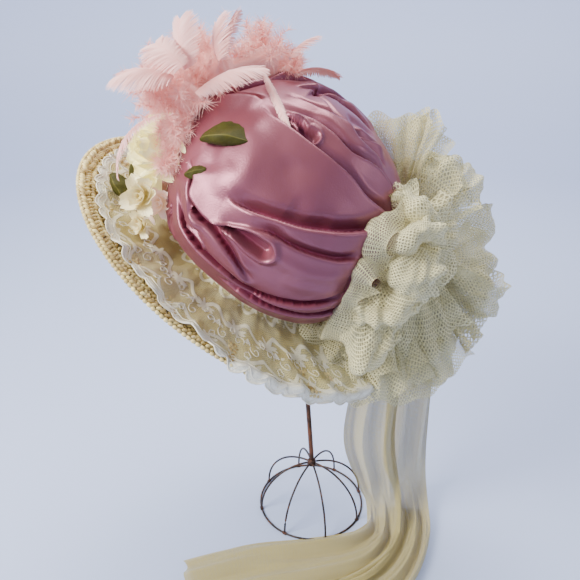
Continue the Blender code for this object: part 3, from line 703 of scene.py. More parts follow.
def petal_finish(name, heart, edge, spot_colour):
    """Silk petals that glow with painted light, an emission of their own colour in place of light through them:
    deeper at the heart, with fine veins.
    """
    made = Finish(name, Roughness=0.55, Sheen_Weight=0.2, Emission_Strength=0.3)
    u, _ = made.flat()
    silk = made.mix(made.crease().step(0.1, 0.75), heart, edge)
    silk = made.mix(made.noise(120, 4).step(0.55, 0.8, 0.0, 0.5), silk, spot_colour)
    made.feed("Base Color", silk)
    # painted light: the petals' colour also goes out as emission
    made.feed("Emission Color", silk)
    made.bump(0.5 * (u * 60).sine() + made.noise(400, 3), 0.0003, 0.5)
    return made.material


def leaf_finish():
    made = Finish("leaf", Roughness=0.65, Specular_IOR_Level=0.25)
    u, v = made.flat()
    vein = (v * 38 + u.fold(10.0) * 30).fold(0.5).step(0.06, 0.0)
    rib = (u - 0.5).size().step(0.05, 0.0)
    green = made.mix(made.noise(140, 3), (0.022, 0.021, 0.001), (0.072, 0.064, 0.002))
    made.feed("Base Color", made.mix(vein.most(rib) * 0.5, green, (0.19, 0.16, 0.03)))
    made.bump(1 - vein.most(rib) + 0.3 * made.noise(900, 2), 0.0004, 0.7)
    return made.material


def wire_finish():
    made = Finish("wire", Roughness=0.5, Metallic=0.7)
    rust = made.noise(160, 5, 0.65).step(0.48, 0.66)
    made.feed("Base Color", made.mix(rust, (0.045, 0.036, 0.033), (0.13, 0.055, 0.025)))
    made.feed("Metallic", rust.step(0, 1, 0.75, 0.15))
    made.feed("Roughness", rust.step(0, 1, 0.42, 0.8))
    made.bump(made.noise(900, 4), 0.0003, 0.5)
    return made.material


def shaft_finish():
    made = Finish("shaft", Roughness=0.55, Metallic=0.5)
    rust = made.noise(120, 5, 0.65, (1, 1, 0.4)).step(0.35, 0.65)
    made.feed("Base Color", made.mix(rust, (0.05, 0.03, 0.022), (0.17, 0.055, 0.022)))
    made.feed("Metallic", rust.step(0, 1, 0.6, 0.1))
    made.bump(made.noise(800, 4), 0.0003, 0.5)
    return made.material


SATIN = satin_finish()
STRAW = straw_finish()
GRAIN = grain_finish()
LACE = lace_finish()
CORD = cord_finish()
NET = net_finish("net", 0.0031, 0.00085, (0.86, 0.79, 0.44), (0.70, 0.62, 0.30), 0.26)
TULLE = net_finish("tulle", 0.0016, 0.0006, (0.58, 0.47, 0.165), (0.49, 0.39, 0.125), 0.52)
FEATHER = feather_finish("feather", (0.96, 0.58, 0.52), (0.88, 0.40, 0.34))
DOWN = feather_finish("down", (0.94, 0.55, 0.48), (0.84, 0.33, 0.27))
ROSE = petal_finish("rose_silk", (0.93, 0.78, 0.24), (1.0, 0.94, 0.52), (0.94, 0.80, 0.34))
BLOSSOM = petal_finish("blossom_silk", (0.46, 0.34, 0.07), (0.90, 0.80, 0.48), (0.82, 0.62, 0.30))
PINK = petal_finish("pink_silk", (0.72, 0.50, 0.32), (0.92, 0.70, 0.60), (0.84, 0.52, 0.44))
LEAF = leaf_finish()
WIRE = wire_finish()
SHAFT = shaft_finish()


# Satin cover


def both_sides(table, lips=False):
    """A table's rows and the same for the far side, whose lips, if any, are on the other hand."""
    rows = list(table)
    for points, *sizes in table:
        far = tuple((FAR_SHIFT[0] - turn, rise + FAR_SHIFT[1]) for turn, rise in points)
        if lips:
            sizes[-1] = -sizes[-1]
        rows.append((far, *sizes))
    return rows


def measured(flat, points):
    """Of unit directions and a line over the cover: the distance to the line in mm, with its sign to the side,
    the share of the way along it, and the way off it. Directions far from the line get 999, 0 and no way."""
    line = unit(spline([heading(*point) for point in points], 7 * len(points)))
    middle = unit(line.mean(0))
    close = flat @ middle > np.cos(np.arccos(np.clip((line @ middle).min(), -1, 1)) + FOLD_REACH)
    near = flat[close]
    nearest, along, side = np.full(len(near), 9.0), np.zeros(len(near)), np.ones(len(near))
    off_way = np.zeros((len(near), 3))
    for step, (a, b) in enumerate(zip(line, line[1:])):
        run = b - a
        t = np.clip((near - a) @ run / (run @ run), 0, 1)
        away = near - (a + t[:, None] * run)
        far = np.linalg.norm(away, axis=1)
        closer = far < nearest
        nearest = np.where(closer, far, nearest)
        along = np.where(closer, (step + t) / (len(line) - 1), along)
        side = np.where(closer, np.sign(np.einsum("ij,ij->i", np.cross(run[None], away), near)), side)
        off_way = np.where(closer[:, None], away, off_way)
    found = np.full(len(flat), 999.0), np.zeros(len(flat)), np.zeros((len(flat), 3))
    for whole, part in zip(found, (side * nearest * COVER_REACH, along, unit(off_way))):
        whole[close] = part
    return found


def fold_moves(way):
    """How the folds move the cover, in metres out of it and along it, each a rounded lip that hangs over a
    hollow, and how much painted shade each point gets from lying deep in a fold or a pocket."""
    flat = way.reshape(-1, 3)
    push, slide, shade = np.zeros(len(flat)), np.zeros((len(flat), 3)), np.zeros(len(flat))
    for points, depth, lip_reach, hollow_reach, lip_side in both_sides(SATIN_FOLDS, True):
        off, along, off_way = measured(flat, points)
        off = off * lip_side
        ends = smooth(0.0, 0.28, along) * smooth(1.0, 0.80, along)
        in_edge = np.clip((LIP - off) / LIP, 0, 1)
        lip = np.where(off > LIP, 0.5 * np.exp(-np.maximum(off - LIP, 0) / lip_reach),
                       -0.3 + 0.8 * np.sqrt(np.maximum(1 - in_edge**2, 0)))
        down = np.maximum(-off, 0)
        hollow = -(0.3 + 0.45 * smooth(0, 2.0, down)) * smooth(hollow_reach, 1.5, down)
        relief = np.where(off > 0, lip, hollow)
        push += depth / 1000 * relief * ends
        hang = np.where(off > 0, np.exp(-((off - LIP * 0.6) / (LIP * 1.3)) ** 2), 0.0) * ends * depth * 0.34 / 1000
        slide -= off_way * hang[:, None]
        # painted shade: darkest just past the lip and over the hollow, fading away from the line
        dark = np.where(off > 0, np.exp(-off / 0.9), smooth(hollow_reach * 0.75, 0.5, down)) * ends
        shade = np.maximum(shade, dark * min(depth / 7, 1.0))
    for points, height, half in both_sides(SATIN_SWELLS):
        off, along, _ = measured(flat, points)
        push += height / 1000 * np.exp(-(off / half) ** 2) * smooth(0.0, 0.3, along) * smooth(1.0, 0.7, along)
    for points, depth, half in both_sides(SATIN_POCKETS):
        off, along, _ = measured(flat, points)
        off = np.abs(off) / (half * (0.2 + 0.8 * smooth(0.0, 0.85, along)))
        ends = smooth(0.0, 0.15, along)
        rim = 0.35 * np.exp(-((off - 1.2) / 0.3) ** 2)
        push += depth / 1000 * (rim - smooth(1.0, 0.45, off)) * ends
        # painted shade inside the pockets
        shade = np.maximum(shade, smooth(1.05, 0.4, off) * ends * smooth(1.25, 0.5, along))
    return push.reshape(way.shape[:-1]), slide.reshape(way.shape), shade.reshape(way.shape[:-1])


def cover_surface(turn, rise):
    way = heading(turn, rise)
    push, slide, shade = fold_moves(way)
    push = push + 0.0010 * ripple(way, 0.55, 3) + 0.0001 * ripple(way, 0.16, 4)
    points = COVER_MIDDLE + way * COVER_HALF
    seam = SATIN_WALL + 0.0008
    reach, height = CROWN_SECTIONS[-2]
    long, wide = half_sizes(reach, 0)
    around = np.radians(turn)
    gathers = 0.0008 * np.sin(around * 83 + 2 * np.sin(around * 7)) * smooth(-26, -38, rise)
    base = oval(long + seam + gathers, wide + seam + gathers, around, CROWN_HEIGHT * height)
    drawn = smooth(-28, COVER_LOW, rise)[..., None]
    free = smooth(COVER_LOW, COVER_LOW + 12, rise)[..., None]
    return points * (1 - drawn) + base * drawn + (way * push[..., None] + slide) * free, shade


def make_satin():
    """The whole cover, with its columns closer together on the side that faces the camera."""
    rows, columns = 232, 430
    step = np.arange(columns) * tau / columns
    near = np.degrees(step - 0.42 * np.sin(step)) - 100
    turn, rise = np.meshgrid(near, np.linspace(89.6, COVER_LOW, rows))
    points, shade = cover_surface(turn, rise)
    faces = grid_faces(rows, columns, True).tolist()
    top = to_world(cover_surface(np.zeros(1), np.full(1, 90.0))[0])
    points = np.concatenate([to_world(points).reshape(-1, 3), top])
    faces += [[c, (c + 1) % columns, rows * columns] for c in range(columns)]
    uv = grid_uv(np.linspace(0, 0.75, columns + 1)[None], np.linspace(0, 0.24, rows)[:, None])
    uv = np.concatenate([uv, np.zeros((3 * columns, 2))])
    piece = add_piece("satin_cover", points, faces, SATIN, "satin", ["satin_crown"], uv, np.append(shade, 0.0))


# Straw hat


def brim_height(out):
    outs, heights = zip(*BRIM_SECTIONS)
    return CROWN_HEIGHT * np.interp(out, (0.0, *outs), (heights[0], *heights))


def straw_profile():
    """The hat's outer line from the middle of its top to the rim: reach of the head and of the brim, height."""
    line = [(reach, 0.0, height) for reach, height in CROWN_SECTIONS]
    line += [(1.0, out, height) for out, height in BRIM_SECTIONS]
    return spline(line, 150)


def straw_points(profile, turn, inward=0.0):
    reach, out, height = (profile[:, k][:, None] for k in range(3))
    long, wide = (np.maximum(half, 1e-4) for half in half_sizes(reach, out))
    run = np.gradient(np.concatenate([long, CROWN_HEIGHT * height], 1), axis=0)
    run = run / np.linalg.norm(run, axis=1, keepdims=True)
    out_way, up_way = -run[:, 1:2], run[:, 0:1]
    height = CROWN_HEIGHT * height - up_way * inward
    return oval(long - out_way * inward, wide - out_way * inward, turn, height)


def make_straw():
    """The plaited hat, outside and inside in one wall, ribbed a plait at a time."""
    profile = straw_profile()
    columns = 260
    turn = np.arange(columns) * tau / columns
    flat_run = stacked(half_sizes(profile[:, 0], profile[:, 1])[0], CROWN_HEIGHT * profile[:, 2])
    length = np.concatenate([[0], np.cumsum(np.linalg.norm(np.diff(flat_run, axis=0), axis=1))])
    plait = (length[-1] - length) / PLAIT_WIDTH
    ridge = (PLAIT_RELIEF * np.abs(np.sin(plait * pi)))[:, None]
    outer = straw_points(profile, turn, -ridge + 0.0002)
    inner = straw_points(profile, turn, STRAW_WALL + ridge - 0.0004)[::-1]
    u = np.linspace(0, PLAIT_STRANDS, columns + 1)[None]
    v = np.concatenate([plait, plait[::-1]])[:, None]
    add_grid("straw_hat", to_world(np.concatenate([outer, inner])), STRAW, "straw", ["straw_body"], u, v, closed=True)


def brim_points(out, turn, lift=0.0):
    """Points over the brim at a share of its width."""
    return oval(*half_sizes(1, out), turn, brim_height(out) + lift)


def make_rim_grains():
    """Three rows of plaited strands laid herringbone along the rim, as raised slanted grains, and a row of
    knots on its edge."""
    parts, tints = [], []
    brim = (BRIM_LENGTH - HEAD_LENGTH) / 2
    count = PLAIT_STRANDS + 20
    per_grain = 5 * 6
    for row in range(3):
        for half in (0, 1):
            turns = (np.arange(count) + 0.5 * half) * tau / count
            inner = 1.0 - (row + 0.5 * (half + 1)) * PLAIT_WIDTH / brim
            outer = inner + 0.52 * PLAIT_WIDTH / brim
            lean = (1 if half else -1) * tau / count
            steps = np.linspace(0, 1, 5)[None, :]
            wobble = RANDOM.normal(0, 0.05, (count, 1)) * tau / count
            turn = turns[:, None] + lean * (steps - 0.5) + wobble
            out = inner + (outer - inner) * steps + RANDOM.normal(0, 0.006, (count, 1))
            lift = 0.0003 + 0.0011 * np.sin(pi * steps) + RANDOM.normal(0, 0.00015, (count, 1))
            paths = to_world(brim_points(out, turn, lift))
            parts.append(tubes(paths, GRAIN_RADIUS * np.array([0.45, 0.95, 1.05, 0.95, 0.45])))
            tints.append(np.repeat(RANDOM.uniform(0.1, 1.0, count), per_grain))
    edge = (np.arange(count) + 0.25) * tau / count
    steps = np.linspace(-0.62, 0.62, 5)[None, :]
    knots = to_world(brim_points(1.006 + 0.008 * np.cos(steps * 2), edge[:, None] + steps * tau / count, -0.0011))
    parts.append(tubes(knots, RIM_GRAIN_RADIUS * np.array([0.3, 0.9, 1.1, 0.9, 0.3])))
    tints.append(np.repeat(RANDOM.uniform(0.3, 1.0, count), per_grain))
    add_joined("rim_plait", parts, GRAIN, "straw", crease=np.concatenate(tints))


# Lace


def lace_edge(turn):
    front = smooth(-0.2, 0.75, -np.cos(turn)) * smooth(-1.0, 0.2, -np.sin(turn) + 0.6)
    return share(LACE_REACH, LACE_FRONT, front)


def lace_surface(turn, along):
    """The lace at a turn and a share of its width: ruffled, and falling over the rim where it is wide."""
    brim = (BRIM_WIDTH - HEAD_WIDTH) / 2
    scallop = np.abs(np.sin(turn * SCALLOPS / 2)) ** 0.8 * SCALLOP_DEPTH / brim
    edge = lace_edge(turn) + scallop * 0.8 - 0.02
    rising = smooth(0.14, 0.0, along)
    out = 0.02 + (edge - 0.02) * np.maximum(along - 0.10, 0) / 0.90
    grown = smooth(0.15, 1.0, along)
    wave = np.sin(23 * turn + 1.3 * np.sin(5 * turn)) + 0.6 * np.sin(41 * turn + 2 * along + 2.0 * np.sin(3 * turn))
    lift = LACE_LIFT + 0.0006 + RUFFLE_RISE * (0.15 + 0.85 * grown) * (0.5 + 0.31 * wave)
    flat = brim_points(out, turn, 0 * lift)
    lift = lift + 0.0011 * ripple(flat, 0.026, 71) + 0.0004 * ripple(flat, 0.011, 72)
    lift = np.maximum(lift, LACE_LIFT) + 0.016 * rising
    over = np.maximum(out - 1.0, 0)
    lift = lift - LACE_DROP * smooth(0.0, LACE_REACH - 1, over) * 0.9
    spread = np.where(out > 1.0, 1.0 + over * 0.55 + 0.015 * smooth(0, 0.02, over), out)
    return brim_points(spread, turn, lift)


def make_lace():
    rows, columns = 56, 900
    along = np.linspace(0, 1, rows)[:, None]
    turn = np.arange(columns)[None] * tau / columns
    u = np.linspace(0, tau, columns + 1)[None] * LACE_PER_RADIAN
    piece = add_grid("lace", to_world(lace_surface(turn, along)), LACE, "lace", ["lace_ruffle"], u,
                     LACE_WIDTH * (1 - along), along, True)
    make_lace_cords()


def scroll(steps):
    """A lace sprig in shares of a repeat: an S-scroll with two coils, a small flower and a leaf spray."""
    strokes = []
    t = np.linspace(0, 1, steps)
    for way, cx, cy in ((1, 0.26, 0.36), (-1, 0.74, 0.52)):
        angle = t * 2.2 * pi
        radius = 0.03 + 0.13 * t
        strokes.append(np.stack([cx + way * radius * np.cos(angle), cy + way * radius * np.sin(angle)], 1))
    petal = t * tau
    flower = 0.055 + 0.035 * np.abs(np.cos(petal * 2.5))
    for cx, cy in ((0.5, 0.80), (0.0, 0.22)):
        strokes.append(np.stack([cx + flower * np.cos(petal), cy + 1.3 * flower * np.sin(petal)], 1))
    for lean in (-0.5, 0.0, 0.5):
        width = 0.022 * np.sin(t * tau)
        reach = 0.16 * np.sin(t * pi)
        strokes.append(np.stack([0.5 + lean * reach + width, 0.24 + reach - 0.3 * abs(lean) * reach], 1))
    return strokes


def make_lace_cords():
    """The gimp cord: three lines along the scallops, and round the sprigs."""
    turn = np.linspace(0, tau, 1800)
    parts = []
    for along, radius in ((0.995, 0.00060), (0.965, 0.00035), (0.90, 0.00035)):
        line = lace_surface(turn, np.full_like(turn, along)) + CORD_RAISE
        parts.append(tubes(to_world(line)[None], radius, 5))
    for sprig in range(SPRIGS):
        for stroke in scroll(26):
            line = lace_surface((sprig + stroke[:, 0]) * tau / SPRIGS, 0.46 + 0.42 * stroke[:, 1]) + CORD_RAISE
            parts.append(tubes(to_world(line)[None], 0.00034, 4))
    return add_joined("lace_cords", parts, CORD, "lace")


# Net pouf


def pouf_frame(row):
    """Root, run to the far end, radius and cross directions of a loop or fan, turned from facing the front."""
    turn, rise, reach, size, face = row[:5]
    root = spot(*POUF_ROOT)
    run = spot(turn, rise, reach) - root
    axis = unit(run)
    radius = size * POUF_UNIT
    wide = unit(np.cross(axis, heading(*TO_CAMERA)))
    deep = np.cross(wide, axis)
    c, s = cos(radians(face)), sin(radians(face))
    return root, axis, np.linalg.norm(run) + 0.95 * radius, radius, wide * c + deep * s, deep * c - wide * s


def crumpled(places, wave, seed, amount):
    """Cloth moved along its own facing by its pleats and by crumples in two sizes."""
    facing = unit(np.cross(np.gradient(places, axis=0), np.gradient(places, axis=1)))
    crumple = 0.0036 * ripple(places, 0.040, seed) + 0.0012 * ripple(places, 0.014, seed + 50)
    return places + facing * (wave + amount * crumple)[..., None]


def hang_net(name, places, wide, along, edge, nodes=()):
    """A sheet of net from rows and columns of places, with its places on the flat cloth."""
    u = np.linspace(0, wide, places.shape[1])[None]
    piece = add_grid(name, to_world(places), NET, "net", nodes, u, along, edge)
    area = mesh_area(piece)
    round(area / wide, 3)


def make_loop(number, row):
    """A loop of net from the pouf's root out and back, gathered at the root and spread at its far end."""
    root, axis, length, radius, wide, deep = pouf_frame(row)
    thick, pleats, seed = row[5:]
    phase = np.random.default_rng(seed).uniform(0, tau)
    rows, columns = 100, 50
    round_way = np.linspace(-pi, pi, rows)[:, None]
    t = np.linspace(-1, 1, columns)[None]
    far = (1 + np.cos(round_way)) / 2
    out = length * (0.03 + 0.97 * far ** 0.9) * (1 - 0.24 * t**2 * far + 0.05 * np.sin(2.6 * t + phase) * far)
    through = radius * thick * np.sin(round_way) * np.sqrt(far) * (0.85 + 0.35 * t**2 + 0.15 * np.sin(3 * t + phase))
    half = radius * (0.14 + 0.94 * far ** 0.6)
    places = root + axis * out[..., None] + deep * through[..., None] + wide * (half * t)[..., None]
    pleat = np.cos(pleats * pi * t + 1.3 * np.sin(2.6 * t + phase) + 0.7 * np.sin(round_way + phase))
    fine = np.cos(2.3 * pleats * pi * t + 2.0 * np.sin(3 * t + 2 * phase) + 1.5 * round_way)
    wave = radius * (0.075 * pleat + 0.02 * fine) * far ** 0.7
    wave = wave + 0.004 * np.sin(9 * round_way + phase) * np.abs(t) ** 5 * far
    nodes = ["net_pouf"] if number == 0 else ()
    hang_net(f"net_loop_{number + 1}", crumpled(places, wave, seed, 1.0), 2.1 * radius,
             (round_way + pi) / tau * 2.2 * length, smooth(0.955, 1.0, np.abs(t)), nodes)


def make_fan(number, row):
    """A fan of net from the pouf's root, spread in flutes to a cut edge."""
    root, axis, length, radius, wide, deep = pouf_frame(row)
    spread, pleats, seed = row[5:]
    phase = np.random.default_rng(seed).uniform(0, tau)
    rows, columns = 60, 64
    s = np.linspace(0.04, 1, rows)[:, None]
    t = np.linspace(-1, 1, columns)[None]
    pleat = np.cos(pleats * pi * t + 1.1 * np.sin(2.2 * t + phase) + 0.5 * s)
    far = length * s * (1 - 0.10 * t**2 + 0.05 * np.sin(4 * t + phase) + 0.03 * pleat * s)
    angle = t * radians(spread) / 2 * (0.45 + 0.55 * s)
    places = (root + axis * (far * np.cos(angle))[..., None] + wide * (far * np.sin(angle))[..., None]
              + deep * (0.25 * radius * np.sin(3 * s + phase) * s + 0.2 * radius * t * s)[..., None])
    wave = radius * 0.24 * s ** 1.4 * pleat
    hang_net(f"net_fan_{number + 1}", crumpled(places, wave, seed, 0.8), length * radians(spread) * 1.1,
             s * length * 1.1, smooth(0.985, 1.0, s) * 0.7)


def make_frill():
    """The pouf's rolled edge: a ruffled strip of net that stands up along the satin."""
    line = spline([spot(*row) for row in FRILL], 150)
    out = unit(line - COVER_MIDDLE)
    along = unit(np.gradient(line, axis=0))
    aside = unit(np.cross(along, out))
    t = np.linspace(-1, 1, 26)[None]
    run = np.linspace(0, 1, 150)[:, None]
    sway = np.sin(31 * run + 1.5 * np.sin(9 * run))
    tall = 0.010 * (1 + 0.35 * np.sin(23 * run))
    lean = 0.010 * sway * (t + 1) / 2 - 0.006 * np.sin(pi * (t + 1) * 0.75)
    places = (line[:, None] + out[:, None] * (tall * (t * 0.9 - 0.1 * t**3))[..., None]
              - aside[:, None] * (lean - 0.010 * (1 - t) / 2)[..., None])
    hang_net("net_frill", crumpled(places, 0, 61, 0.6), 0.05, run * 0.30, smooth(0.90, 1.0, np.abs(t)))


# Tulle tails


def tail_line(table, top):
    """Places, half widths, folds and turns along a tail, in metres and radians, from its top down."""
    rows = [[x * RING_RADIUS, y * RING_RADIUS, z * RING_RADIUS, wide * TULLE_WIDTH / 2, fold * TULLE_FOLD,
             radians(turn)] for x, y, z, wide, fold, turn in table]
    rows[0][2] = top
    return spline(rows, 120)


def make_tail(number, table):
    name = f"streamer_{number + 1}"
    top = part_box(name)[1].z + TAIL_TUCK
    x, y, z, half, fold, turn = (column[:, None] for column in tail_line(table, top).T)
    side = np.linspace(-1, 1, 120)[None]
    length = np.linspace(0, 1, len(x))[:, None]
    z = np.maximum(z, fold * 0.75 + TULLE_WALL)
    lying = smooth(1.5 * RING_RADIUS, RING_RADIUS / 3, z)
    wave = 0.70 * fold * np.sin(side * 2.4 * pi + 1.2 * np.sin(4 * length))
    wave = wave + 0.30 * fold * np.sin(side * 13 + 3 * np.sin(7 * length))
    wave = wave + 0.08 * fold * np.sin(side * 29 + 11 * length)
    ox = np.cos(turn) * half * side - np.sin(turn) * wave * (1 - lying)
    oy = np.sin(turn) * half * side + np.cos(turn) * wave * (1 - lying)
    points = stacked(x + ox + AXIS.x, y + oy + AXIS.y, np.maximum(z + wave * lying, TULLE_WALL))
    uneven = 0.010 * np.sin(2.3 * side + 1.7 * number) + 0.003 * np.sin(9 * side + number)
    points[..., :2] += unit(np.gradient(points[..., :2], axis=0)) * (smooth(0.86, 1.0, length) * uneven)[..., None]
    edge = smooth(0.955, 0.985, np.abs(side))
    piece = add_grid(f"tulle_tail_{number + 1}", points, TULLE, "tulle", [name], TULLE_CLOTH[0] * (side + 1) / 2,
                     TULLE_CLOTH[1] * length, edge)


# Feathers and down


def blade_frame(row):
    """Root, run, outward and across directions of a feather or leaf, in the hat's frame."""
    root, tip = spot(*row[:3]), spot(*row[3:6])
    run = tip - root
    outward = (root + tip) / 2 - COVER_MIDDLE
    outward = unit(outward - run * (outward @ run) / (run @ run))
    spin = Matrix.Rotation(radians(row[8]), 3, Vector(run).normalized())
    outward = np.array(spin @ Vector(outward))
    return root, run, outward, unit(np.cross(run, outward))


def laid_shift(row, width, node):
    """How far the part moved a blade when it laid it on the hat: its node's box against the plain blade's."""
    root, run, outward, across = blade_frame(row)
    t = np.linspace(0, 1, 7)[:, None]
    side = np.array([[-1.0, 0.0, 1.0]])
    half = width / 2 * row[7] * (0.12 + 0.88 * np.sin(pi * np.minimum(t * 0.92 + 0.04, 1)) ** 0.7)
    arch = row[6] * np.linalg.norm(run) * 4 * t * (1 - t)
    blade = root + run * t[..., None] + outward * (arch - half * 0.35 * side**2)[..., None]
    blade = to_world(blade + across * (half * side)[..., None]).reshape(-1, 3)
    return np.array(middle_of(node)) - (blade.min(0) + blade.max(0)) / 2


def make_feather(number, row):
    """Barbs on both sides of a bowed rachis, leaning to its tip and drooping at their ends."""
    root, run, outward, across = blade_frame(row)
    length = np.linalg.norm(run)
    along_way = run / length
    bow, wide = row[6:8]
    name = f"feather_{number + 1}"
    random = np.random.default_rng(100 + number)

    def rachis(t):
        t = t[..., None]
        return root + run * t + outward * bow * length * 4 * t * (1 - t)

    t = np.linspace(0.02, 0.98, BARBS)
    q = np.linspace(0, 1, 6)[None, :]
    paths, tints = [], []
    for side in (-1, 1):
        half = FEATHER_WIDTH / 2 * wide * (0.10 + 0.90 * np.sin(pi * np.clip(t * 0.94 + 0.05, 0, 1)) ** 0.6)
        half = half * random.uniform(0.86, 1.10, BARBS)
        base = rachis(t)[:, None]
        lean = share(0.45, 1.5, t)[:, None] + random.normal(0, 0.06, (BARBS, 1))
        reach = half[:, None] * (q * 0.9 + 0.1 * q * q)
        droop = half[:, None] * (0.15 * q + 0.45 * q * q) + random.normal(0, 0.0006, (BARBS, 1)) * q
        paths.append(base + across * (side * reach)[..., None] + along_way * (reach * lean * 0.8)[..., None]
                     - outward * droop[..., None])
        tints.append(np.clip(0.35 + 0.65 * q + random.normal(0, 0.08, (BARBS, 1)), 0, 1))
    paths = to_world(np.concatenate(paths)) + row[9] * laid_shift(row, FEATHER_WIDTH, name)
    halves = 0.00062 * (1.1 - q ** 2) + 0.00004
    add_piece(f"plume_{number + 1}", *ribbons(paths, halves, HAT_TURN_ROWS @ outward), FEATHER, "feather", [name],
              None, np.repeat(np.concatenate(tints).reshape(-1), 2))


def make_down():
    """Marabou: short plumes over the lobes, each with long curling barbs."""
    random = np.random.default_rng(5)
    centre = spot(176, 22, 1.12)
    middles = np.array([spot(*row[:3]) for row in DOWN_LOBES])
    sizes = np.array([row[3] for row in DOWN_LOBES]) * DOWN_UNIT
    plumes, barbs, steps = 250, 80, 5
    chosen = random.choice(len(middles), plumes, p=sizes / sizes.sum())
    way = unit(random.normal(size=(plumes, 3)) + 1.1 * unit(middles[chosen] - COVER_MIDDLE))
    root = middles[chosen] + way * (sizes[chosen] * random.uniform(0.15, 0.75, plumes))[:, None]
    bend = unit(random.normal(size=(plumes, 3)))
    t = np.linspace(0, 1, barbs)[None, :, None]
    length = (sizes[chosen] * random.uniform(0.45, 0.75, plumes))[:, None, None]
    spine = root[:, None] + way[:, None] * length * t + bend[:, None] * length * 0.35 * t * t
    out = unit(np.cross(way[:, None], random.normal(size=(plumes, barbs, 3))))
    out = unit(out + 0.55 * way[:, None] + 0.25 * random.normal(size=out.shape))
    curl = unit(random.normal(size=out.shape))
    reach = 0.014 * random.uniform(0.5, 1.15, (plumes, barbs, 1)) * (1.1 - 0.5 * t)
    q = np.linspace(0, 1, steps)[None, None, :, None]
    paths = (spine[:, :, None] + out[:, :, None] * reach[:, :, None] * q
             + curl[:, :, None] * reach[:, :, None] * 0.35 * q * q
             - np.array([0, 0, 1.0]) * reach[:, :, None] * 0.15 * q * q)
    paths = to_world(paths.reshape(-1, steps, 3))
    q = np.linspace(0, 1, steps)[None]
    strands = ribbons(paths, 0.00022 * (1.15 - q), np.array([0.1, -0.9, 0.4]))
    tints = np.clip(0.15 + 0.85 * q + random.normal(0, 0.1, (len(paths), 1)), 0, 1)
    add_piece("marabou_fluff", *strands, DOWN, "down", ["marabou"], None, np.repeat(tints.reshape(-1), 2))
    rows, columns = 40, 80
    turn, rise = np.meshgrid(np.arange(columns) * 360 / columns, np.linspace(-89, 89, rows))
    ways = heading(turn, rise)
    far = np.full(turn.shape, 0.006)
    for middle, size in zip(middles - centre, sizes * 0.55):
        along = ways @ middle
        inside = size**2 - (np.sum(middle**2) - along**2)
        far = np.where(inside > 0, np.maximum(far, along + np.sqrt(np.maximum(inside, 0))), far)
    core = centre + ways * (far + 0.0015 * ripple(ways, 0.2, 8))[..., None]
    outside = np.linalg.norm((core - COVER_MIDDLE) / COVER_HALF, axis=-1)
    core = COVER_MIDDLE + (core - COVER_MIDDLE) * np.maximum(1.0, 1.01 / outside)[..., None]
    add_piece("marabou_core", to_world(core), grid_faces(rows, columns, True), DOWN, "down", (), None,
              np.clip(0.25 + 0.3 * ripple(ways, 0.1, 9), 0, 1))


# Flowers and leaves


def petal_sheet(width, length, cup, curl, seed, rows=9, columns=9):
    """A petal in its own frame: from the origin up +Z, facing +X, cupped across and curling out at its lip."""
    random = np.random.default_rng(seed)
    t = np.linspace(0, 1, rows)[:, None]
    s = np.linspace(-1, 1, columns)[None]
    half = width / 2 * (0.35 + 0.65 * np.sin(pi * (0.12 + 0.70 * t)) ** 0.8)
    notch = 1 - 0.06 * np.cos(s * 3 * pi) * t
    y = half * s
    z = length * t * notch * (1 - 0.14 * s * s * t)
    x = length * curl * t**3 - 0.5 * cup * width * s * s + 0.12 * length * np.sin(pi * t)
    x = x + 0.03 * length * np.sin(s * 5 + random.uniform(0, 6)) * t
    return stacked(x, y, z), t + 0 * s


def turned(points, facing_turn, lean, axis_frame, base):
    """A petal leaned out, turned about the flower's axis and set on the flower."""
    spin = Matrix.Rotation(facing_turn, 3, "Z") @ Matrix.Rotation(lean, 3, "Y")
    return (points @ np.array(spin).T) @ axis_frame.T + base


def flower_frame(turn, rise):
    return np.array(Vector(heading(turn, rise)).to_track_quat("Z", "Y").to_matrix())


def make_flower(name, node, facing, whorls, finish, slot, width_to_box):
    """A flower of whorls of petals: count, size, lean, start height and curl each."""
    axes = HAT_TURN_ROWS @ flower_frame(*facing)
    low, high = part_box(node)
    place = np.array((low + high) / 2)
    across = max(high - low) * width_to_box
    parts, shades, uvs = [], [], []
    seed = 1
    for count, wide, tall, lean, start, curl in whorls:
        base = place + axes @ np.array([0, 0, start * across])
        for k in range(count):
            seed += 1
            points, reach = petal_sheet(wide * across, tall * across, 0.6, curl, seed)
            points = points + np.array([0.02 * across, 0, 0])
            turn = tau * (k + 0.37 * seed) / count
            jitter = 0.12 * sin(seed * 2.7)
            rows, columns = reach.shape
            parts.append((turned(points, turn, lean + jitter, axes, base), grid_faces(rows, columns)))
            shades.append(reach.reshape(-1))
            uvs.append(grid_uv(np.linspace(0, 1, columns)[None], np.linspace(0, 1, rows)[:, None]))
    add_joined(name, parts, finish, slot, [node], np.concatenate(uvs), np.concatenate(shades))


ROSE_WHORLS = (
    # petals, width, height, lean, start, curl
    (3, 0.26, 0.30, 0.05, -0.10, 0.00),
    (4, 0.36, 0.34, 0.22, -0.14, 0.08),
    (5, 0.44, 0.40, 0.55, -0.18, 0.20),
    (6, 0.48, 0.46, 0.95, -0.20, 0.28),
    (7, 0.50, 0.50, 1.35, -0.22, 0.30),
)
BLOSSOM_WHORLS = (
    (5, 0.44, 0.52, 1.05, -0.08, 0.15),
    (5, 0.30, 0.34, 0.60, -0.05, 0.10),
    (4, 0.12, 0.22, 0.25, -0.02, 0.05),
)


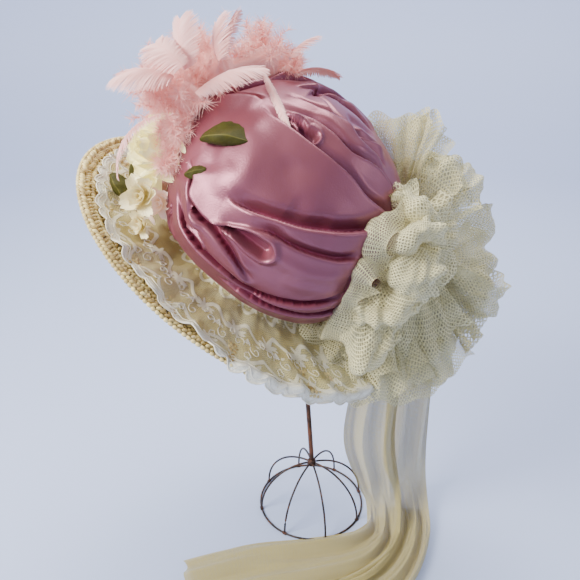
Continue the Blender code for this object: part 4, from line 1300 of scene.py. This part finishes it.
def make_blade_leaf(name, node, row, width, finish, slot, fold=0.45, lean=0.0):
    """A leaf or loose petal, folded down at both sides and, with a lean, wider on one of them."""
    root, run, outward, across = blade_frame(row)
    length = np.linalg.norm(run)
    t = np.linspace(0, 1, 22)[:, None]
    s = np.linspace(-1, 1, 15)[None]
    half = width / 2 * row[7] * (0.06 + 0.94 * np.sin(pi * np.clip(t * 0.93 + 0.04, 0, 1)) ** 0.75)
    half = half * (1 + 0.04 * np.sin(t * 40))
    arch = row[6] * length * 4 * t * (1 - t) - half * fold * np.abs(s) ** 1.2 + 0.05 * half * np.sin(t * 14 + s * 4)
    half = half * (1 + lean * s)
    points = root + run * t[..., None] + outward * arch[..., None] + across * (half * s)[..., None]
    add_grid(name, to_world(points) + laid_shift(row, width, node), finish, slot, [node], (s + 1) / 2, t * 0.2, t)


# Stand


def make_wire(name, node, path, radius, finish, slot, sides=10):
    add_piece(name, *tubes(path[None], radius, sides), finish, slot, [node])


def make_dome(prefix, ribs):
    """A ring and the wires from it up to its collar, each bound to it by a few turns of fine wire."""
    ring = prefix + "_ring"
    low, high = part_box(ring)
    centre = np.array(axis_of(ring))
    radius = (high.x - low.x) / 2 - WIRE_RADIUS
    ring_height = low.z + WIRE_RADIUS
    around = centre + oval(radius, radius, np.linspace(0, tau, 121), ring_height)
    make_wire(ring + "_wire", ring, around, WIRE_RADIUS, WIRE, "wire")
    swing = np.linspace(0, pi / 2, 24)
    out = RIB_START + (radius - RIB_START) * np.sin(swing)
    winds = np.linspace(0, tau * 4, 60)[:, None]
    run = np.linspace(-BINDING_LENGTH / 2, BINDING_LENGTH / 2, 60)[:, None]
    parts = []
    for k in range(ribs):
        node = f"{prefix}_rib_{k + 1}"
        rib_low, rib_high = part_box(node)
        middle = np.array(middle_of(node)) - centre
        bearing = atan2(middle[1], middle[0])
        top = rib_high.z - WIRE_RADIUS
        path = centre + oval(out, out, bearing, rib_low.z + (top - rib_low.z) * np.cos(swing))
        make_wire(f"{prefix}_wire_{k + 1}", node, path, WIRE_RADIUS, WIRE, "wire", 8)
        tangent = np.array([-sin(bearing), cos(bearing), 0])
        outward = np.array([cos(bearing), sin(bearing), 0])
        wrap = (centre + oval(radius, radius, bearing, ring_height) + tangent * run
                + BINDING_REACH * (outward * np.cos(winds) + np.array([0, 0, 1.0]) * np.sin(winds)))
        wrap[:, 2] = np.maximum(wrap[:, 2], WIRE_INSET)
        parts.append(tubes(wrap[None], BINDING_WIRE))
    add_joined(prefix + "_bindings", parts, SHAFT, "shaft")


def make_binding(name, node):
    """A wound collar: fine wire turned round the ends of the ribs."""
    low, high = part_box(node)
    centre = np.array(axis_of(node))
    height = np.linspace(low.z + WIRE_INSET, high.z - WIRE_INSET, 220)
    share_up = (height - low.z) / (high.z - low.z)
    radius = (high.x - low.x) / 2 * (1 - 0.25 * share_up) - WIRE_INSET
    path = centre + oval(radius, radius, np.linspace(0, tau * 7, 220), height)
    core = stacked(*centre[:2], np.linspace(low.z, high.z, 7))
    core_radii = np.array([0.001, 0.0048, 0.0047, 0.0044, 0.0040, 0.0036, 0.001])
    add_joined(name, [tubes(path[None], COIL_WIRE, 7), tubes(core[None], core_radii, 14)], SHAFT, "shaft", [node])


def make_stand():
    make_dome("base", 8)
    make_dome("top", 6)
    make_binding("foot_binding", "base_collar")
    make_binding("head_binding", "top_collar")
    low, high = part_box("shaft")
    foot, head = middle_of("base_collar"), middle_of("top_collar")
    t = np.linspace(0, 1, 40)
    path = stacked(share(foot.x, head.x, t), share(foot.y, head.y, t), share(low.z, high.z, t))
    make_wire("shaft_rod", "shaft", path, SHAFT_RADIUS, SHAFT, "shaft", 14)


# Floor, light and camera


def make_studio():
    """A pale floor that curves up into a backdrop all round, and soft light."""
    out, up = spline(BACKDROP, 60).T[..., None]
    points = oval(out, out, np.arange(72) * tau / 72, np.maximum(up, 0)) + np.array(AXIS)
    mesh = bpy.data.meshes.new("floor")
    mesh.from_pydata(points.reshape(-1, 3).tolist(), [], grid_faces(60, 72, True).tolist())
    mesh.shade_smooth()
    floor = bpy.data.objects.new("floor", mesh)
    made = Finish("floor", Roughness=0.6)
    made.shader.inputs["Base Color"].default_value = (0.50, 0.57, 0.78, 1)
    mesh.materials.append(made.material)
    bpy.context.scene.collection.objects.link(floor)
    world = bpy.data.worlds.new("studio")
    world.use_nodes = True
    sky = world.node_tree.nodes["Background"].inputs
    sky["Color"].default_value = (0.93, 0.94, 0.96, 1)
    sky["Strength"].default_value = 0.52
    bpy.context.scene.world = world
    for name, place, aim, size, power in LIGHTS:
        lamp = bpy.data.lights.new(name, "AREA")
        lamp.size = size
        lamp.energy = power
        shown = bpy.data.objects.new(name, lamp)
        shown.location = AXIS + Vector(place)
        way = AXIS + Vector(aim) - shown.location
        shown.rotation_euler = way.to_track_quat("-Z", "Y").to_euler()
        bpy.context.scene.collection.objects.link(shown)
    lens = bpy.data.cameras.new("camera")
    lens.lens = CAMERA_LENS
    camera = bpy.data.objects.new("camera", lens)
    camera.location = AXIS + Vector(CAMERA_PLACE)
    camera.rotation_euler = (pi / 2 - CAMERA_PITCH, 0, 0)
    bpy.context.scene.collection.objects.link(camera)
    bpy.context.scene.camera = camera


make_studio()
make_stand()
make_straw()
make_rim_grains()
make_satin()
make_lace()
for number, row in enumerate(POUF_LOOPS):
    make_loop(number, row)
for number, row in enumerate(POUF_FANS):
    make_fan(number, row)
make_frill()
for number, table in enumerate(TAILS):
    make_tail(number, table)
make_down()
for number, row in enumerate(FEATHERS):
    make_feather(number, row)
make_flower("silk_rose", "rose", ROSE_FACING, ROSE_WHORLS, ROSE, "rose", 1.25)
for number, facing in enumerate(BLOSSOM_FACINGS):
    make_flower(f"silk_blossom_{number + 1}", f"blossom_{number + 1}", facing, BLOSSOM_WHORLS,
                PINK if number == 1 else BLOSSOM, "blossom", 1.35)
make_blade_leaf("silk_petal", "hanging_petal", PETAL_BLADE, PETAL_WIDTH, PINK, "blossom")
for number, row in enumerate(LEAVES):
    make_blade_leaf(f"silk_leaf_{number + 1}", f"leaf_{number + 1}", row, LEAF_WIDTH, LEAF, "leaf",
                    0.9 if number == 0 else 0.6, -0.6 if number == 0 else 0.0)
